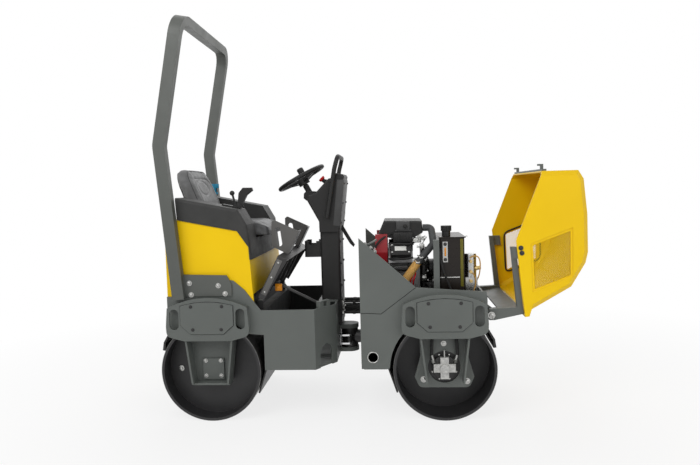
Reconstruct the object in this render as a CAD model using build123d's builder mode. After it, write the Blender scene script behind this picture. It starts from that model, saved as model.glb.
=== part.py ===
"""Small tandem road roller with a centre joint, hood tipped open and floor plate raised.

Units are millimetres, +X is forward, +Z is up and the ground is Z = 0. Outlines are pairs of
X and Z, counted from an axle line or a hinge and from the top of the deck.
"""
import os
from math import cos, hypot, radians, sin

from build123d import *

os.makedirs("parts", exist_ok=True)

# Drums
DRUM_D = 560
DRUM_WIDTH = 900
SHELL_T = 16
DISC_T = 14
RIM_CHAMFER = 3
REAR_RECESS = 105
FRONT_RECESS = 190
HUB_R = 75
HUB_LENGTH = 60
AXLE_R = 32
AXLE_ENGAGED = 45
RUNNING_FIT = 0.3
WHEELBASE = 1290

# Hood, counted from its hinge
HINGE_AHEAD = 255
HINGE_DROP = 40
HOOD_DEPTH = 515
HOOD_HEIGHT = 769
HOOD_T = 8
HOOD_BEVEL = 26
HOOD_CLEARANCE = 8

DRUM_R = DRUM_D / 2
AXLE_Z = DRUM_R
DRUM_HALF = DRUM_WIDTH / 2
NOSE_REACH = HINGE_AHEAD + HOOD_DEPTH
REAR_X = DRUM_R - (DRUM_R + WHEELBASE + NOSE_REACH) / 2
FRONT_X = REAR_X + WHEELBASE

# Frames
PLATE = 10
PANEL_INSET = 12
DRUM_GAP = 18
WALL_GAP = 4
DECK_LIFT = 40
BELLY_LIFT = 3
SILL_LIFT = 8
REAR_END = 235
END_RISE = 90
PIVOT_REACH = 745
PIVOT_LIFT = 88
NOSE_SETBACK = 55
NOSE_NARROWING = 158
FOLD_LENGTH = 105
FRONT_SETBACK = 92
ARCH_CUT_R = DRUM_R + DRUM_GAP
WALL_X = ARCH_CUT_R + WALL_GAP
DECK_Z = DRUM_D + DECK_LIFT
DECK_TOP = DECK_Z + PLATE
END_TOP = DECK_TOP + END_RISE
END_LOW = DECK_TOP - END_RISE
BELLY_Z = AXLE_Z + BELLY_LIFT
SILL_Z = DECK_TOP + SILL_LIFT
PIVOT_Z = AXLE_Z + PIVOT_LIFT
PANEL_Y = DRUM_HALF - PANEL_INSET
PANEL_IN = PANEL_Y - PLATE
PIVOT_X = REAR_X + PIVOT_REACH
NOSE_X = PIVOT_X - NOSE_SETBACK
NOSE_HALF = PANEL_Y - NOSE_NARROWING
FOLD_X = NOSE_X - FOLD_LENGTH
FRONT_END = PIVOT_X + FRONT_SETBACK
HOOD_HINGE_X = FRONT_X + HINGE_AHEAD
HOOD_HINGE_Z = DECK_TOP - HINGE_DROP
HOOD_HALF = PANEL_IN - HOOD_CLEARANCE

# Arched side plates, covers and arms, counted from the axle
ARCH_OVERHANG = 34
ARCH_T = 12
ARCH_HALF = 222
ARCH_RISE = 53
ARCH_SHOULDER = 364
ARCH_CORNER_R = 36
ARCH_LOWER = ((231, 262), (229, 206), (131, 180))
SLOT_WIDTH = 52
SLOT_LENGTH = 114
SLOT_X = 184
SLOT_LIFT = 300
COVER_T = 6
COVER_HALF = 146
COVER_SHOULDER = 375
COVER_TOP = 395
COVER_BEND = 268
COVER_FOOT = 220
COVER_FOOT_HALF = 91
ARM_INSET = 78
ARM_T = 12
ARM_TOP = 208
ARM_TOP_HALF = 137
ARM_FOOT_HALF = 104
ARM_FOOT = 65
ARM_LIP = 20
RIB_T = 10
FLANGE_HALF = 60
FLANGE_T = 12
MOTOR_HOLE_R = 89
MOTOR_PLATE = ((130, 60), (163, -55), (137, -115))
MOTOR_PLATE_R = 30
MOTOR_FOOT = 70
MOTOR_RIM = 16
ARCH_Y = DRUM_HALF + ARCH_OVERHANG
ARCH_IN = ARCH_Y - ARCH_T
ARM_IN = DRUM_HALF - ARM_INSET
ARM_OUT = ARM_IN + ARM_T

# Floor plate, counted along it from its hinge and up from its hinge pin
FLOOR_RAISE = 63
FLOOR_HINGE_REACH = 272
FLOOR_HINGE_LIFT = 42
HINGE_R = 9
HINGE_EYE = 7
HINGE_PLATE_IN = 350
HINGE_PLATE_T = 12
KNUCKLE_GAP = 6
KNUCKLE_WIDTH = 18
FLOOR_START = 30
FLOOR_LENGTH = 290
FLOOR_SIDE_GAP = 13
FLOOR_TOP = 14
FLOOR_T = 8
FLOOR_LIP = 43
TONGUE_REACH = 148
TONGUE_DROP = 16
TONGUE_WIDTH = 80
TOWER_GAP = 15
GUARD_T = 6
FLOOR_HALF = PANEL_IN - FLOOR_SIDE_GAP
FLOOR_UNDER = FLOOR_TOP - FLOOR_T
HINGE_X = REAR_X + FLOOR_HINGE_REACH
HINGE_Z = DECK_TOP + FLOOR_HINGE_LIFT

# Tower, console and wheel
TOWER_HALF = 130
TOWER_DEPTH = 116
TOWER_LIP = 19
TOWER_RADIUS = 15
CONSOLE_FOOT = 412
CONSOLE_HALF = 150
CONSOLE_ROUND = 10
WHEEL_R = 145
WHEEL_TUBE_R = 12
WHEEL_TILT = 28
WHEEL_REACH = 474
WHEEL_LIFT = 735
HUB_DROP = 45
HUB_TOP = 40
WHEEL_HUB_R = 35
SPOKE_HALF = 12
SPOKE_T = 8
COLUMN_R = 18
COLUMN_LENGTH = 80
COLUMN_GAP = 5
SPINDLE_R = 12
SPINDLE_LENGTH = 30
RAIL_R = 13
RAIL_GAP = 4
RAIL_BEND = 45
TONGUE_END = FLOOR_LENGTH + TONGUE_REACH
TONGUE_IN = TOWER_HALF + TOWER_GAP
TONGUE_OUT = TONGUE_IN + TONGUE_WIDTH
TOWER_FRONT = NOSE_X + TOWER_LIP
TOWER_REAR = TOWER_FRONT - TOWER_DEPTH

# Seat and tank body
PANEL_CLEARANCE = 0.5
WELL_HALF = 245
WELL_LIFT = 330
WELL_REAR = 175
SEAT_HALF = 215
SEAT_REAR = 150
SEAT_FRONT = 310
SEAT_BASE_H = 70
CUSHION_H = 85
WELL_Z = DECK_TOP + WELL_LIFT
CUSHION_Z = WELL_Z + SEAT_BASE_H
CUSHION_TOP = CUSHION_Z + CUSHION_H

# Roll-over hoop
HOOP_DEEP = 65
HOOP_WIDE = 48
HOOP_BEND = 100
HOOP_SIDE = ((-155, 80), (-227, 920), (-97, 1605))
HOOP_FEET = ((-145, 92), (134, 92), (134, 158), (108, 206), (-145, 214))

# Centre joint
LUG_R = 55
LUG_T = 25
LUG_GAP = 116
PIN_R = 25
YOKE_R = 50
YOKE_GAP = 1
SHAFT_R = 40
SHAFT_COLLAR = 20
SHAFT_COLLAR_T = 14
BEARING_R = 68
BEARING_LENGTH = 115
BEARING_GAP = 5
STEER_ARM = 80
STEER_ANGLE = 28
STEER_ARM_T = 24
STEER_EYE_R = 26
STEER_PIN_R = 10
STEER_SLACK = 6
ROD_R = 12
BARREL_R = 24
CLEVIS_T = 10
CLEVIS_HALF = 20
CLEVIS_GAP = 8
LUG_LOW = PIVOT_Z - LUG_GAP / 2 - LUG_T
CYLINDER_Y = -STEER_ARM * (1 + cos(radians(STEER_ANGLE))) / 2


def prism(points, y_low, y_high, mode=Mode.ADD):
    """Extrude a side outline, given as X and Z, between two values of Y."""
    with BuildSketch(Plane.XZ.offset(-y_high)) as outline:
        with BuildLine():
            Polyline(*points, close=True)
        make_face()
    extrude(outline.sketch, amount=y_high - y_low, mode=mode)


def block(x_low, x_high, y_low, y_high, z_low, z_high, mode=Mode.ADD):
    """Add or cut a box given by its limits."""
    with Locations(((x_low + x_high) / 2, (y_low + y_high) / 2, (z_low + z_high) / 2)):
        Box(x_high - x_low, y_high - y_low, z_high - z_low, mode=mode)


def bar(start, axis, length, radius, mode=Mode.ADD):
    """Add or cut a round bar from a start point along an axis."""
    with BuildSketch(Plane(origin=start, z_dir=axis)) as circle:
        Circle(radius)
    extrude(circle.sketch, amount=length, mode=mode)


def tube(points, radius, bend):
    """Sweep a round section along straight runs joined by arcs."""
    with BuildLine() as path:
        FilletPolyline(*points, radius=bend)
    with BuildSketch(Plane(origin=path.line @ 0, z_dir=path.line % 0)) as section:
        Circle(radius)
    sweep(section.sketch, path=path.line)


def shifted(points, x, z):
    """Move an outline of X and Z pairs."""
    return [(px + x, pz + z) for px, pz in points]


def flipped(points):
    """Mirror an outline front to back."""
    return [(-px, pz) for px, pz in points]


def both(inner, outer):
    """Give the limits of a piece on the left and of its twin on the right."""
    return (inner, outer), (-outer, -inner)


def rim(piece, run):
    """Pick the edges on a prism's two sides that follow an open run of its outline."""
    middles = [((ax + bx) / 2, (az + bz) / 2) for (ax, az), (bx, bz) in zip(run, run[1:])]
    return [
        edge for edge in piece.edges()
        if any(hypot(edge.center().X - x, edge.center().Z - z) < RUNNING_FIT for x, z in middles)
    ]


def save(piece, label):
    """Name a finished piece and write its file."""
    piece.part.label = label
    export_step(piece.part, f"parts/{label}.step")


# Drums: a rolled shell, two inset end discs and their bearing hubs
def drum(axle_x, recess):
    inner_r = DRUM_R - SHELL_T
    face_y = DRUM_HALF - recess
    with BuildPart() as piece:
        bar((axle_x, DRUM_HALF, AXLE_Z), (0, -1, 0), DRUM_WIDTH, DRUM_R)
        chamfer(piece.edges().filter_by(GeomType.CIRCLE), RIM_CHAMFER)
        bar((axle_x, DRUM_HALF, AXLE_Z), (0, -1, 0), DRUM_WIDTH, inner_r, Mode.SUBTRACT)
        for side in (1, -1):
            face = (axle_x, side * face_y, AXLE_Z)
            bar(face, (0, -side, 0), DISC_T, inner_r)
            bar(face, (0, -side, 0), HUB_LENGTH, HUB_R)
            bar(face, (0, -side, 0), HUB_LENGTH, AXLE_R + RUNNING_FIT, Mode.SUBTRACT)
    return piece


save(drum(REAR_X, REAR_RECESS), "rear_drum")
save(drum(FRONT_X, FRONT_RECESS), "front_drum")

# Rear frame: a box with slanted front corners, side panels, a deck, and the lugs of the centre joint
REAR_PANEL = (
    (-REAR_END, -END_RISE), (-REAR_END, END_RISE), (-140, END_RISE), (-130, 198), (103, 182), (142, 174),
    (201, 123), (250, 58), (288, SILL_LIFT), (WALL_X + PLATE, SILL_LIFT), (WALL_X + PLATE, -130),
)
BOX_PLAN = (
    (REAR_X + WALL_X, -PANEL_Y), (FOLD_X, -PANEL_Y), (NOSE_X, -NOSE_HALF),
    (NOSE_X, NOSE_HALF), (FOLD_X, PANEL_Y), (REAR_X + WALL_X, PANEL_Y),
)
NOTCH_HALF = 52
NOTCH_RISE = 75
BRACKET_HALF = 45
BRACKET_RISE = 36
BRACKET_ROOT = 30
BRACKET_DEPTH = 26
BRACKET_SLOT = 28
CYLINDER_DOOR = 42
CYLINDER_FOOT_LOW = 315
CYLINDER_FOOT_HIGH = 275
CYLINDER_FOOT_HALF = 30
CYLINDER_EYE_HALF = 22


def slant_plane(side):
    """Plane of a slanted front corner of the rear box, at its foot, looking out."""
    middle = ((FOLD_X + NOSE_X) / 2, side * (PANEL_Y + NOSE_HALF) / 2, BELLY_Z)
    return Plane(
        origin=middle, x_dir=(-side * FOLD_LENGTH, NOSE_NARROWING, 0),
        z_dir=(NOSE_NARROWING, side * FOLD_LENGTH, 0))


with BuildPart() as rear_chassis:
    with BuildSketch(Plane.XY.offset(BELLY_Z)):
        with BuildLine():
            Polyline(*BOX_PLAN, close=True)
        make_face()
    extrude(amount=SILL_Z - BELLY_Z)
    with BuildSketch(Plane.XY.offset(BELLY_Z + PLATE)):
        with BuildLine():
            Polyline(*BOX_PLAN, close=True)
        make_face()
        offset(amount=-PLATE, kind=Kind.INTERSECTION, mode=Mode.REPLACE)
    extrude(amount=SILL_Z - BELLY_Z, mode=Mode.SUBTRACT)
    for low, high in both(PANEL_IN, PANEL_Y):
        prism(shifted(REAR_PANEL, REAR_X, DECK_TOP), low, high)
    bar((REAR_X, PANEL_Y, AXLE_Z), (0, -1, 0), 2 * PANEL_Y, ARCH_CUT_R, Mode.SUBTRACT)
    block(REAR_X - REAR_END, REAR_X + WALL_X + PLATE, -PANEL_IN, PANEL_IN, DECK_Z, DECK_TOP)
    block(REAR_X - REAR_END, REAR_X - REAR_END + PLATE, -PANEL_IN, PANEL_IN, END_LOW, END_TOP)
    block(FOLD_X - PLATE, NOSE_X, -CONSOLE_HALF, CONSOLE_HALF, SILL_Z - PLATE, SILL_Z)
    for side in (1, -1):
        with BuildSketch(slant_plane(side)):
            with Locations((0, NOTCH_RISE / 2)):
                Rectangle(2 * NOTCH_HALF, NOTCH_RISE)
            with Locations((0, NOTCH_RISE)):
                Circle(NOTCH_HALF)
        extrude(amount=PLATE, both=True, mode=Mode.SUBTRACT)
        with BuildSketch(slant_plane(side)):
            with Locations((0, SILL_Z - BELLY_Z + (BRACKET_RISE - BRACKET_ROOT) / 2)):
                Rectangle(2 * BRACKET_HALF, BRACKET_RISE + BRACKET_ROOT)
        extrude(amount=-BRACKET_DEPTH)
        with BuildSketch(slant_plane(side)):
            with Locations((0, SILL_Z - BELLY_Z + BRACKET_RISE / 2)):
                Rectangle(BRACKET_SLOT, BRACKET_SLOT)
        extrude(amount=-BRACKET_DEPTH, mode=Mode.SUBTRACT)
        plate_out = side * (HINGE_PLATE_IN + HINGE_PLATE_T)
        low, high = sorted((side * HINGE_PLATE_IN, plate_out))
        block(HINGE_X - HINGE_R - HINGE_EYE, HINGE_X + HINGE_R + HINGE_EYE, low, high, DECK_TOP, HINGE_Z)
        bar((HINGE_X, plate_out, HINGE_Z), (0, -side, 0), HINGE_PLATE_T, HINGE_R + HINGE_EYE)
        bar((HINGE_X, plate_out, HINGE_Z), (0, -side, 0),
            HINGE_PLATE_T + 2 * KNUCKLE_GAP + KNUCKLE_WIDTH, HINGE_R)
    for low in (LUG_LOW, LUG_LOW + LUG_T + LUG_GAP):
        block(NOSE_X - PLATE, PIVOT_X, -LUG_R, LUG_R, low, low + LUG_T)
        bar((PIVOT_X, 0, low), (0, 0, 1), LUG_T, LUG_R)
    bar((PIVOT_X, 0, LUG_LOW), (0, 0, 1), 2 * LUG_T + LUG_GAP, PIN_R)
    block(NOSE_X - PLATE, NOSE_X, CYLINDER_Y - CYLINDER_DOOR, CYLINDER_Y + CYLINDER_DOOR,
          PIVOT_Z - CYLINDER_DOOR, PIVOT_Z + CYLINDER_DOOR, Mode.SUBTRACT)
    block(NOSE_X - CYLINDER_FOOT_LOW, NOSE_X - CYLINDER_FOOT_HIGH, CYLINDER_Y - CYLINDER_FOOT_HALF,
          CYLINDER_Y + CYLINDER_FOOT_HALF, BELLY_Z + PLATE, PIVOT_Z - CYLINDER_EYE_HALF)
save(rear_chassis, "rear_chassis")


# Arched side plates with tall slots, and a flange that closes the gap to the frame
def arch_top(axle_x, drop):
    """Draw the arch's bowed top edge, lowered by a plate's thickness or not at all."""
    shoulder = AXLE_Z + ARCH_SHOULDER - drop
    ThreePointArc(
        (axle_x - ARCH_HALF, shoulder), (axle_x, shoulder + ARCH_RISE), (axle_x + ARCH_HALF, shoulder))


def arches(axle_x):
    shoulder = AXLE_Z + ARCH_SHOULDER
    lower = shifted(ARCH_LOWER, axle_x, AXLE_Z)
    lower_rear = shifted(flipped(reversed(ARCH_LOWER)), axle_x, AXLE_Z)
    with BuildPart() as piece:
        with BuildSketch(Plane.XZ.offset(ARCH_IN)) as face:
            with BuildLine():
                arch_top(axle_x, 0)
                Polyline((axle_x + ARCH_HALF, shoulder), *lower, *lower_rear, (axle_x - ARCH_HALF, shoulder))
            make_face()
            fillet(face.vertices().group_by(Axis.Y)[1], ARCH_CORNER_R)
            with Locations((axle_x - SLOT_X, AXLE_Z + SLOT_LIFT), (axle_x + SLOT_X, AXLE_Z + SLOT_LIFT)):
                SlotOverall(SLOT_LENGTH, SLOT_WIDTH, rotation=90, mode=Mode.SUBTRACT)
        extrude(amount=ARCH_T)
        with BuildSketch(Plane.XZ.offset(PANEL_Y)):
            with BuildLine():
                arch_top(axle_x, 0)
                arch_top(axle_x, PLATE)
                for end in (axle_x - ARCH_HALF, axle_x + ARCH_HALF):
                    Line((end, shoulder), (end, shoulder - PLATE))
            make_face()
        extrude(amount=ARCH_IN - PANEL_Y)
        mirror(about=Plane.XZ)
    return piece


save(arches(REAR_X), "rear_arches")
save(arches(FRONT_X), "front_arches")


def covers(axle_x):
    right = [(COVER_HALF, COVER_SHOULDER), (COVER_HALF, COVER_BEND), (COVER_FOOT_HALF, COVER_FOOT)]
    lower = shifted(right + flipped(reversed(right)), axle_x, AXLE_Z)
    with BuildPart() as piece:
        with BuildSketch(Plane.XZ.offset(ARCH_Y)):
            with BuildLine():
                ThreePointArc(lower[-1], (axle_x, AXLE_Z + COVER_TOP), lower[0])
                Polyline(*lower)
            make_face()
        extrude(amount=COVER_T)
        mirror(about=Plane.XZ)
    return piece


save(covers(REAR_X), "rear_arch_covers")
save(covers(FRONT_X), "front_arch_covers")


# Arms: a pocket of plates that reaches from the arch into the drum's end
def ribs(axle_x, foot):
    top_z = AXLE_Z + ARM_TOP
    for side in (1, -1):
        outline = (
            (side * ARM_TOP_HALF, ARM_TOP), (side * (ARM_TOP_HALF - RIB_T), ARM_TOP),
            (side * (ARM_FOOT_HALF - RIB_T), -foot), (side * ARM_FOOT_HALF, -foot),
        )
        prism(shifted(outline, axle_x, AXLE_Z), -ARCH_IN, -ARM_IN)
    block(axle_x - ARM_TOP_HALF, axle_x + ARM_TOP_HALF, -ARCH_IN, -ARM_IN, top_z - RIB_T, top_z)


with BuildPart() as rear_arms:
    arm_side = [(ARM_TOP_HALF, ARM_TOP), (ARM_FOOT_HALF, -ARM_FOOT)]
    prism(shifted(arm_side + flipped(reversed(arm_side)), REAR_X, AXLE_Z), -ARM_OUT, -ARM_IN)
    ribs(REAR_X, ARM_FOOT)
    block(REAR_X - ARM_FOOT_HALF, REAR_X + ARM_FOOT_HALF, -ARCH_IN + ARM_LIP, -ARM_IN,
          AXLE_Z - ARM_FOOT - RIB_T, AXLE_Z - ARM_FOOT)
    bar((REAR_X, -ARM_OUT, AXLE_Z), (0, 1, 0), ARM_T, AXLE_R, Mode.SUBTRACT)
    mirror(about=Plane.XZ)
save(rear_arms, "rear_arms")

with BuildPart() as front_arms:
    plate_side = [(ARM_TOP_HALF, ARM_TOP), *MOTOR_PLATE]
    with BuildSketch(Plane.XZ.offset(ARM_IN)) as motor_plate:
        with BuildLine():
            Polyline(
                *shifted(plate_side + flipped(reversed(plate_side)), FRONT_X, AXLE_Z), close=True)
        make_face()
        fillet(motor_plate.vertices().group_by(Axis.Y)[0], MOTOR_PLATE_R)
    extrude(amount=ARM_T)
    ribs(FRONT_X, MOTOR_FOOT)
    bar((FRONT_X, -ARM_OUT, AXLE_Z), (0, 1, 0), ARM_T, MOTOR_HOLE_R, Mode.SUBTRACT)
    mirror(about=Plane.XZ)
save(front_arms, "front_arms")

with BuildPart() as rear_axle_stubs:
    block(REAR_X - FLANGE_HALF, REAR_X + FLANGE_HALF, -ARM_OUT - FLANGE_T, -ARM_OUT,
          AXLE_Z - FLANGE_HALF, AXLE_Z + FLANGE_HALF)
    bar((REAR_X, -ARM_OUT, AXLE_Z), (0, 1, 0), ARM_OUT - DRUM_HALF + REAR_RECESS + AXLE_ENGAGED, AXLE_R)
    mirror(about=Plane.XZ)
save(rear_axle_stubs, "rear_axle_stubs")

MOTOR_CAP_R = 66
MOTOR_CAP_T = 24
MOTOR_CROSS = 120
MOTOR_CROSS_T = 46
MOTOR_DEPTH = 44
PORT_R = 24
PORT_LENGTH = 14

with BuildPart() as drum_motors:
    bar((FRONT_X, -ARM_IN, AXLE_Z), (0, 1, 0), PLATE, MOTOR_HOLE_R + MOTOR_RIM)
    bar((FRONT_X, -ARM_IN, AXLE_Z), (0, -1, 0), MOTOR_CAP_T, MOTOR_CAP_R)
    for wide, tall in ((MOTOR_CROSS, MOTOR_CROSS_T), (MOTOR_CROSS_T, MOTOR_CROSS)):
        block(FRONT_X - wide / 2, FRONT_X + wide / 2, -ARM_IN - MOTOR_DEPTH, -ARM_IN,
              AXLE_Z - tall / 2, AXLE_Z + tall / 2)
    bar((FRONT_X, -ARM_IN - MOTOR_DEPTH, AXLE_Z), (0, -1, 0), PORT_LENGTH, PORT_R)
    bar((FRONT_X, -ARM_IN, AXLE_Z), (0, 1, 0), ARM_IN - DRUM_HALF + FRONT_RECESS + AXLE_ENGAGED, AXLE_R)
    mirror(about=Plane.XZ)
save(drum_motors, "drum_motors")

# Tank body with a well for the seat, and the dark surround on top of it
TANK_HALF = PANEL_IN - PANEL_CLEARANCE
TANK_REAR = REAR_END - PANEL_CLEARANCE
TANK_FOOT = REAR_END - PLATE - PANEL_CLEARANCE
TANK_REAR_TOP = 512
SEAM = ((-160, 514), (172, 447), (232, 358), (236, 288))
SURROUND_TOP = ((248, 288), (226, 480), (177, 566), (-168, 637))
SURROUND_LAP = 6
SURROUND_ROUND = 18
TANK = (
    (-TANK_FOOT, 0), (-TANK_FOOT, END_RISE), (-TANK_REAR, END_RISE), (-TANK_REAR, TANK_REAR_TOP),
    *SEAM, (250, 58), (252, 0),
)
SURROUND_HALF = TANK_HALF + SURROUND_LAP
OPEN_ABOVE = CUSHION_TOP + WELL_LIFT

with BuildPart() as tank_body:
    prism(shifted(TANK, REAR_X, DECK_TOP), -TANK_HALF, TANK_HALF)
    block(REAR_X - WELL_REAR, REAR_X + SEAT_FRONT, -WELL_HALF, WELL_HALF, WELL_Z, OPEN_ABOVE, Mode.SUBTRACT)
save(tank_body, "tank_body")

with BuildPart() as seat_surround:
    prism(shifted(SEAM + SURROUND_TOP, REAR_X, DECK_TOP), -SURROUND_HALF, SURROUND_HALF)
    fillet(rim(seat_surround, shifted(SURROUND_TOP, REAR_X, DECK_TOP)), SURROUND_ROUND)
    block(REAR_X - REAR_END, REAR_X + SEAT_FRONT, -WELL_HALF, WELL_HALF, CUSHION_Z - SURROUND_LAP,
          OPEN_ABOVE, Mode.SUBTRACT)
save(seat_surround, "seat_surround")

BASE_HALF = 170
BASE_FRONT = 195
PAN_FRONT = 260
PAN_INSET = 10
PAN_T = 4
CUSHION_CORNER = 45
CUSHION_ROUND = 25
BACK_ROUND = 16
BACK_HIGH = 303
BACK_CORNER = 115
BACK = (
    (-SEAT_REAR, CUSHION_TOP), (-60, CUSHION_TOP), (-96, CUSHION_TOP + 123), (-178, CUSHION_TOP + BACK_HIGH),
    (-228, CUSHION_TOP + BACK_HIGH), (-238, CUSHION_TOP + 268), (-203, CUSHION_TOP + 155),
)

with BuildPart() as seat_base:
    block(REAR_X - SEAT_REAR, REAR_X + BASE_FRONT, -BASE_HALF, BASE_HALF, WELL_Z, CUSHION_Z)
    block(REAR_X - SEAT_REAR, REAR_X + PAN_FRONT, -SEAT_HALF + PAN_INSET, SEAT_HALF - PAN_INSET,
          CUSHION_Z - PAN_T, CUSHION_Z)
save(seat_base, "seat_base")

with BuildPart() as seat_cushion:
    block(REAR_X - SEAT_REAR, REAR_X + SEAT_FRONT, -SEAT_HALF, SEAT_HALF, CUSHION_Z, CUSHION_TOP)
    fillet(seat_cushion.edges().filter_by(Axis.Z), CUSHION_CORNER)
    fillet(seat_cushion.faces().sort_by(Axis.Z)[-1].edges(), CUSHION_ROUND)
save(seat_cushion, "seat_cushion")

with BuildPart() as seat_back:
    prism(shifted(BACK, REAR_X, 0), -SEAT_HALF, SEAT_HALF)
    with BuildSketch(Plane.YZ.offset(REAR_X)) as arch:
        with Locations((0, CUSHION_TOP + BACK_HIGH / 2)):
            Rectangle(2 * SEAT_HALF, BACK_HIGH)
        fillet(arch.vertices().group_by(Axis.Y)[-1], BACK_CORNER)
    extrude(amount=-OPEN_ABOVE, mode=Mode.INTERSECT)
    fillet(seat_back.edges().filter_by(lambda edge: edge.center().Z > CUSHION_TOP + BACK_ROUND), BACK_ROUND)
save(seat_back, "seat_back")

# Roll-over hoop: one bent box tube with welded foot plates
HOOP_Y = PANEL_Y + HOOP_WIDE / 2

with BuildPart() as rops_hoop:
    hoop_side = shifted(HOOP_SIDE, REAR_X, DECK_TOP)
    with BuildLine() as hoop_path:
        FilletPolyline(
            *[(x, -HOOP_Y, z) for x, z in hoop_side], *[(x, HOOP_Y, z) for x, z in reversed(hoop_side)],
            radius=HOOP_BEND,
        )
    with BuildSketch(Plane(origin=hoop_path.line @ 0, x_dir=(0, 1, 0), z_dir=hoop_path.line % 0)):
        Rectangle(HOOP_WIDE, HOOP_DEEP)
    sweep()
    for low, high in both(PANEL_Y, PANEL_Y + PLATE):
        prism(shifted(HOOP_FEET, REAR_X, DECK_TOP), low, high)
save(rops_hoop, "rops_hoop")

# Control levers on the right of the seat: a thumb lever and a bent travel grip
LEVER_Y = SURROUND_HALF - 103.5
LEVER_FOOT = (146, 578)
LEVER_TIP = (128, 655)
LEVER_PLATE_HALF = 24
LEVER_PLATE_T = 8
LEVER_START = 0.7
LEVER_R = 6
LEVER_KNOB_R = 14
GRIP_HALF = 15
GRIP_ROUND = 6
GRIP = ((158, 574), (168, 657), (191, 684), (242, 683), (247, 666), (212, 640), (177, 574))

with BuildPart() as control_levers:
    (front_x, front_z), (rear_x, rear_z) = SURROUND_TOP[2], SURROUND_TOP[3]
    start_x = front_x + (rear_x - front_x) * (1 - LEVER_START)
    start_z = front_z + (rear_z - front_z) * (1 - LEVER_START)
    lift = PANEL_CLEARANCE
    prism(
        shifted(
            [(start_x, start_z + lift), (front_x, front_z + lift), (front_x, front_z + lift + LEVER_PLATE_T),
             (start_x, start_z + lift + LEVER_PLATE_T)], REAR_X, DECK_TOP),
        -LEVER_Y - LEVER_PLATE_HALF, -LEVER_Y + LEVER_PLATE_HALF)
    prism(shifted(GRIP, REAR_X, DECK_TOP), -LEVER_Y - GRIP_HALF, -LEVER_Y + GRIP_HALF)
    fillet(rim(control_levers, shifted(GRIP[1:6], REAR_X, DECK_TOP)), GRIP_ROUND)
    foot = Vector(REAR_X + LEVER_FOOT[0], -LEVER_Y, DECK_TOP + LEVER_FOOT[1])
    tip = Vector(REAR_X + LEVER_TIP[0], -LEVER_Y, DECK_TOP + LEVER_TIP[1])
    bar(foot, tip - foot, (tip - foot).length, LEVER_R)
    with Locations(tip):
        Sphere(LEVER_KNOB_R)
save(control_levers, "control_levers")

# Steering tower: a box column bolted to the nose, with its lip reaching down in front of it
LIP_DROP = 148

with BuildPart() as steering_tower:
    block(TOWER_REAR, TOWER_FRONT, -TOWER_HALF, TOWER_HALF, SILL_Z, DECK_TOP + CONSOLE_FOOT)
    fillet(steering_tower.edges().filter_by(Axis.Z), TOWER_RADIUS)
    block(NOSE_X, TOWER_FRONT, -TOWER_HALF + TOWER_RADIUS, TOWER_HALF - TOWER_RADIUS, SILL_Z - LIP_DROP,
          SILL_Z)
save(steering_tower, "steering_tower")

# Dash console with the column's housing, a fuse box on its front and a hook below
CONSOLE_TOP = (
    (592, 472), (525, 597), (530, 630), (573, 642), (652, 724), (690, 735), (699, 756), (738, 748),
    (746, 735),
    (733, 673), (725, 510),
)
CONSOLE = ((593, CONSOLE_FOOT), *CONSOLE_TOP, (711, CONSOLE_FOOT))
HOUSING_FRONT = max(575, WHEEL_REACH + 101)
HOUSING = (
    (WHEEL_REACH + 20, 612), (WHEEL_REACH + 22, 640), (WHEEL_REACH + 38, 656), (HOUSING_FRONT, 650),
    (HOUSING_FRONT, 600), (WHEEL_REACH + 38, 597),
)
HOUSING_HALF = 70
HOOK = ((705, 440), (716, 448), (770, 352), (790, 322), (782, 308), (760, 330), (705, 424))
HOOK_HALF = 9
WHEEL_AXIS = (-sin(radians(WHEEL_TILT)), 0, cos(radians(WHEEL_TILT)))
WHEEL_PLANE = Plane(
    origin=(REAR_X + WHEEL_REACH, 0, DECK_TOP + WHEEL_LIFT), x_dir=(0, 1, 0), z_dir=WHEEL_AXIS)

with BuildPart() as dash_console:
    prism(shifted(CONSOLE, REAR_X, DECK_TOP), -CONSOLE_HALF, CONSOLE_HALF)
    fillet(rim(dash_console, shifted(CONSOLE_TOP, REAR_X, DECK_TOP)), CONSOLE_ROUND)
    prism(shifted(HOUSING, REAR_X, DECK_TOP), -HOUSING_HALF, HOUSING_HALF)
    prism(shifted(HOOK, REAR_X, DECK_TOP), -HOOK_HALF, HOOK_HALF)
    with BuildSketch(WHEEL_PLANE.offset(-HUB_DROP - COLUMN_GAP)):
        Circle(COLUMN_R)
    extrude(amount=-COLUMN_LENGTH)
    with BuildSketch(WHEEL_PLANE.offset(-HUB_DROP - COLUMN_GAP)):
        Circle(SPINDLE_R)
    extrude(amount=SPINDLE_LENGTH)
save(dash_console, "dash_console")

KNOB_R = 21
KNOB_H = 42
KNOB_PIN_R = 9
KNOB_PIN_H = 34
KNOB_PIN_LAP = 4
KNOB_ROUND = 10
SPOKE_ROOT = 20

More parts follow.
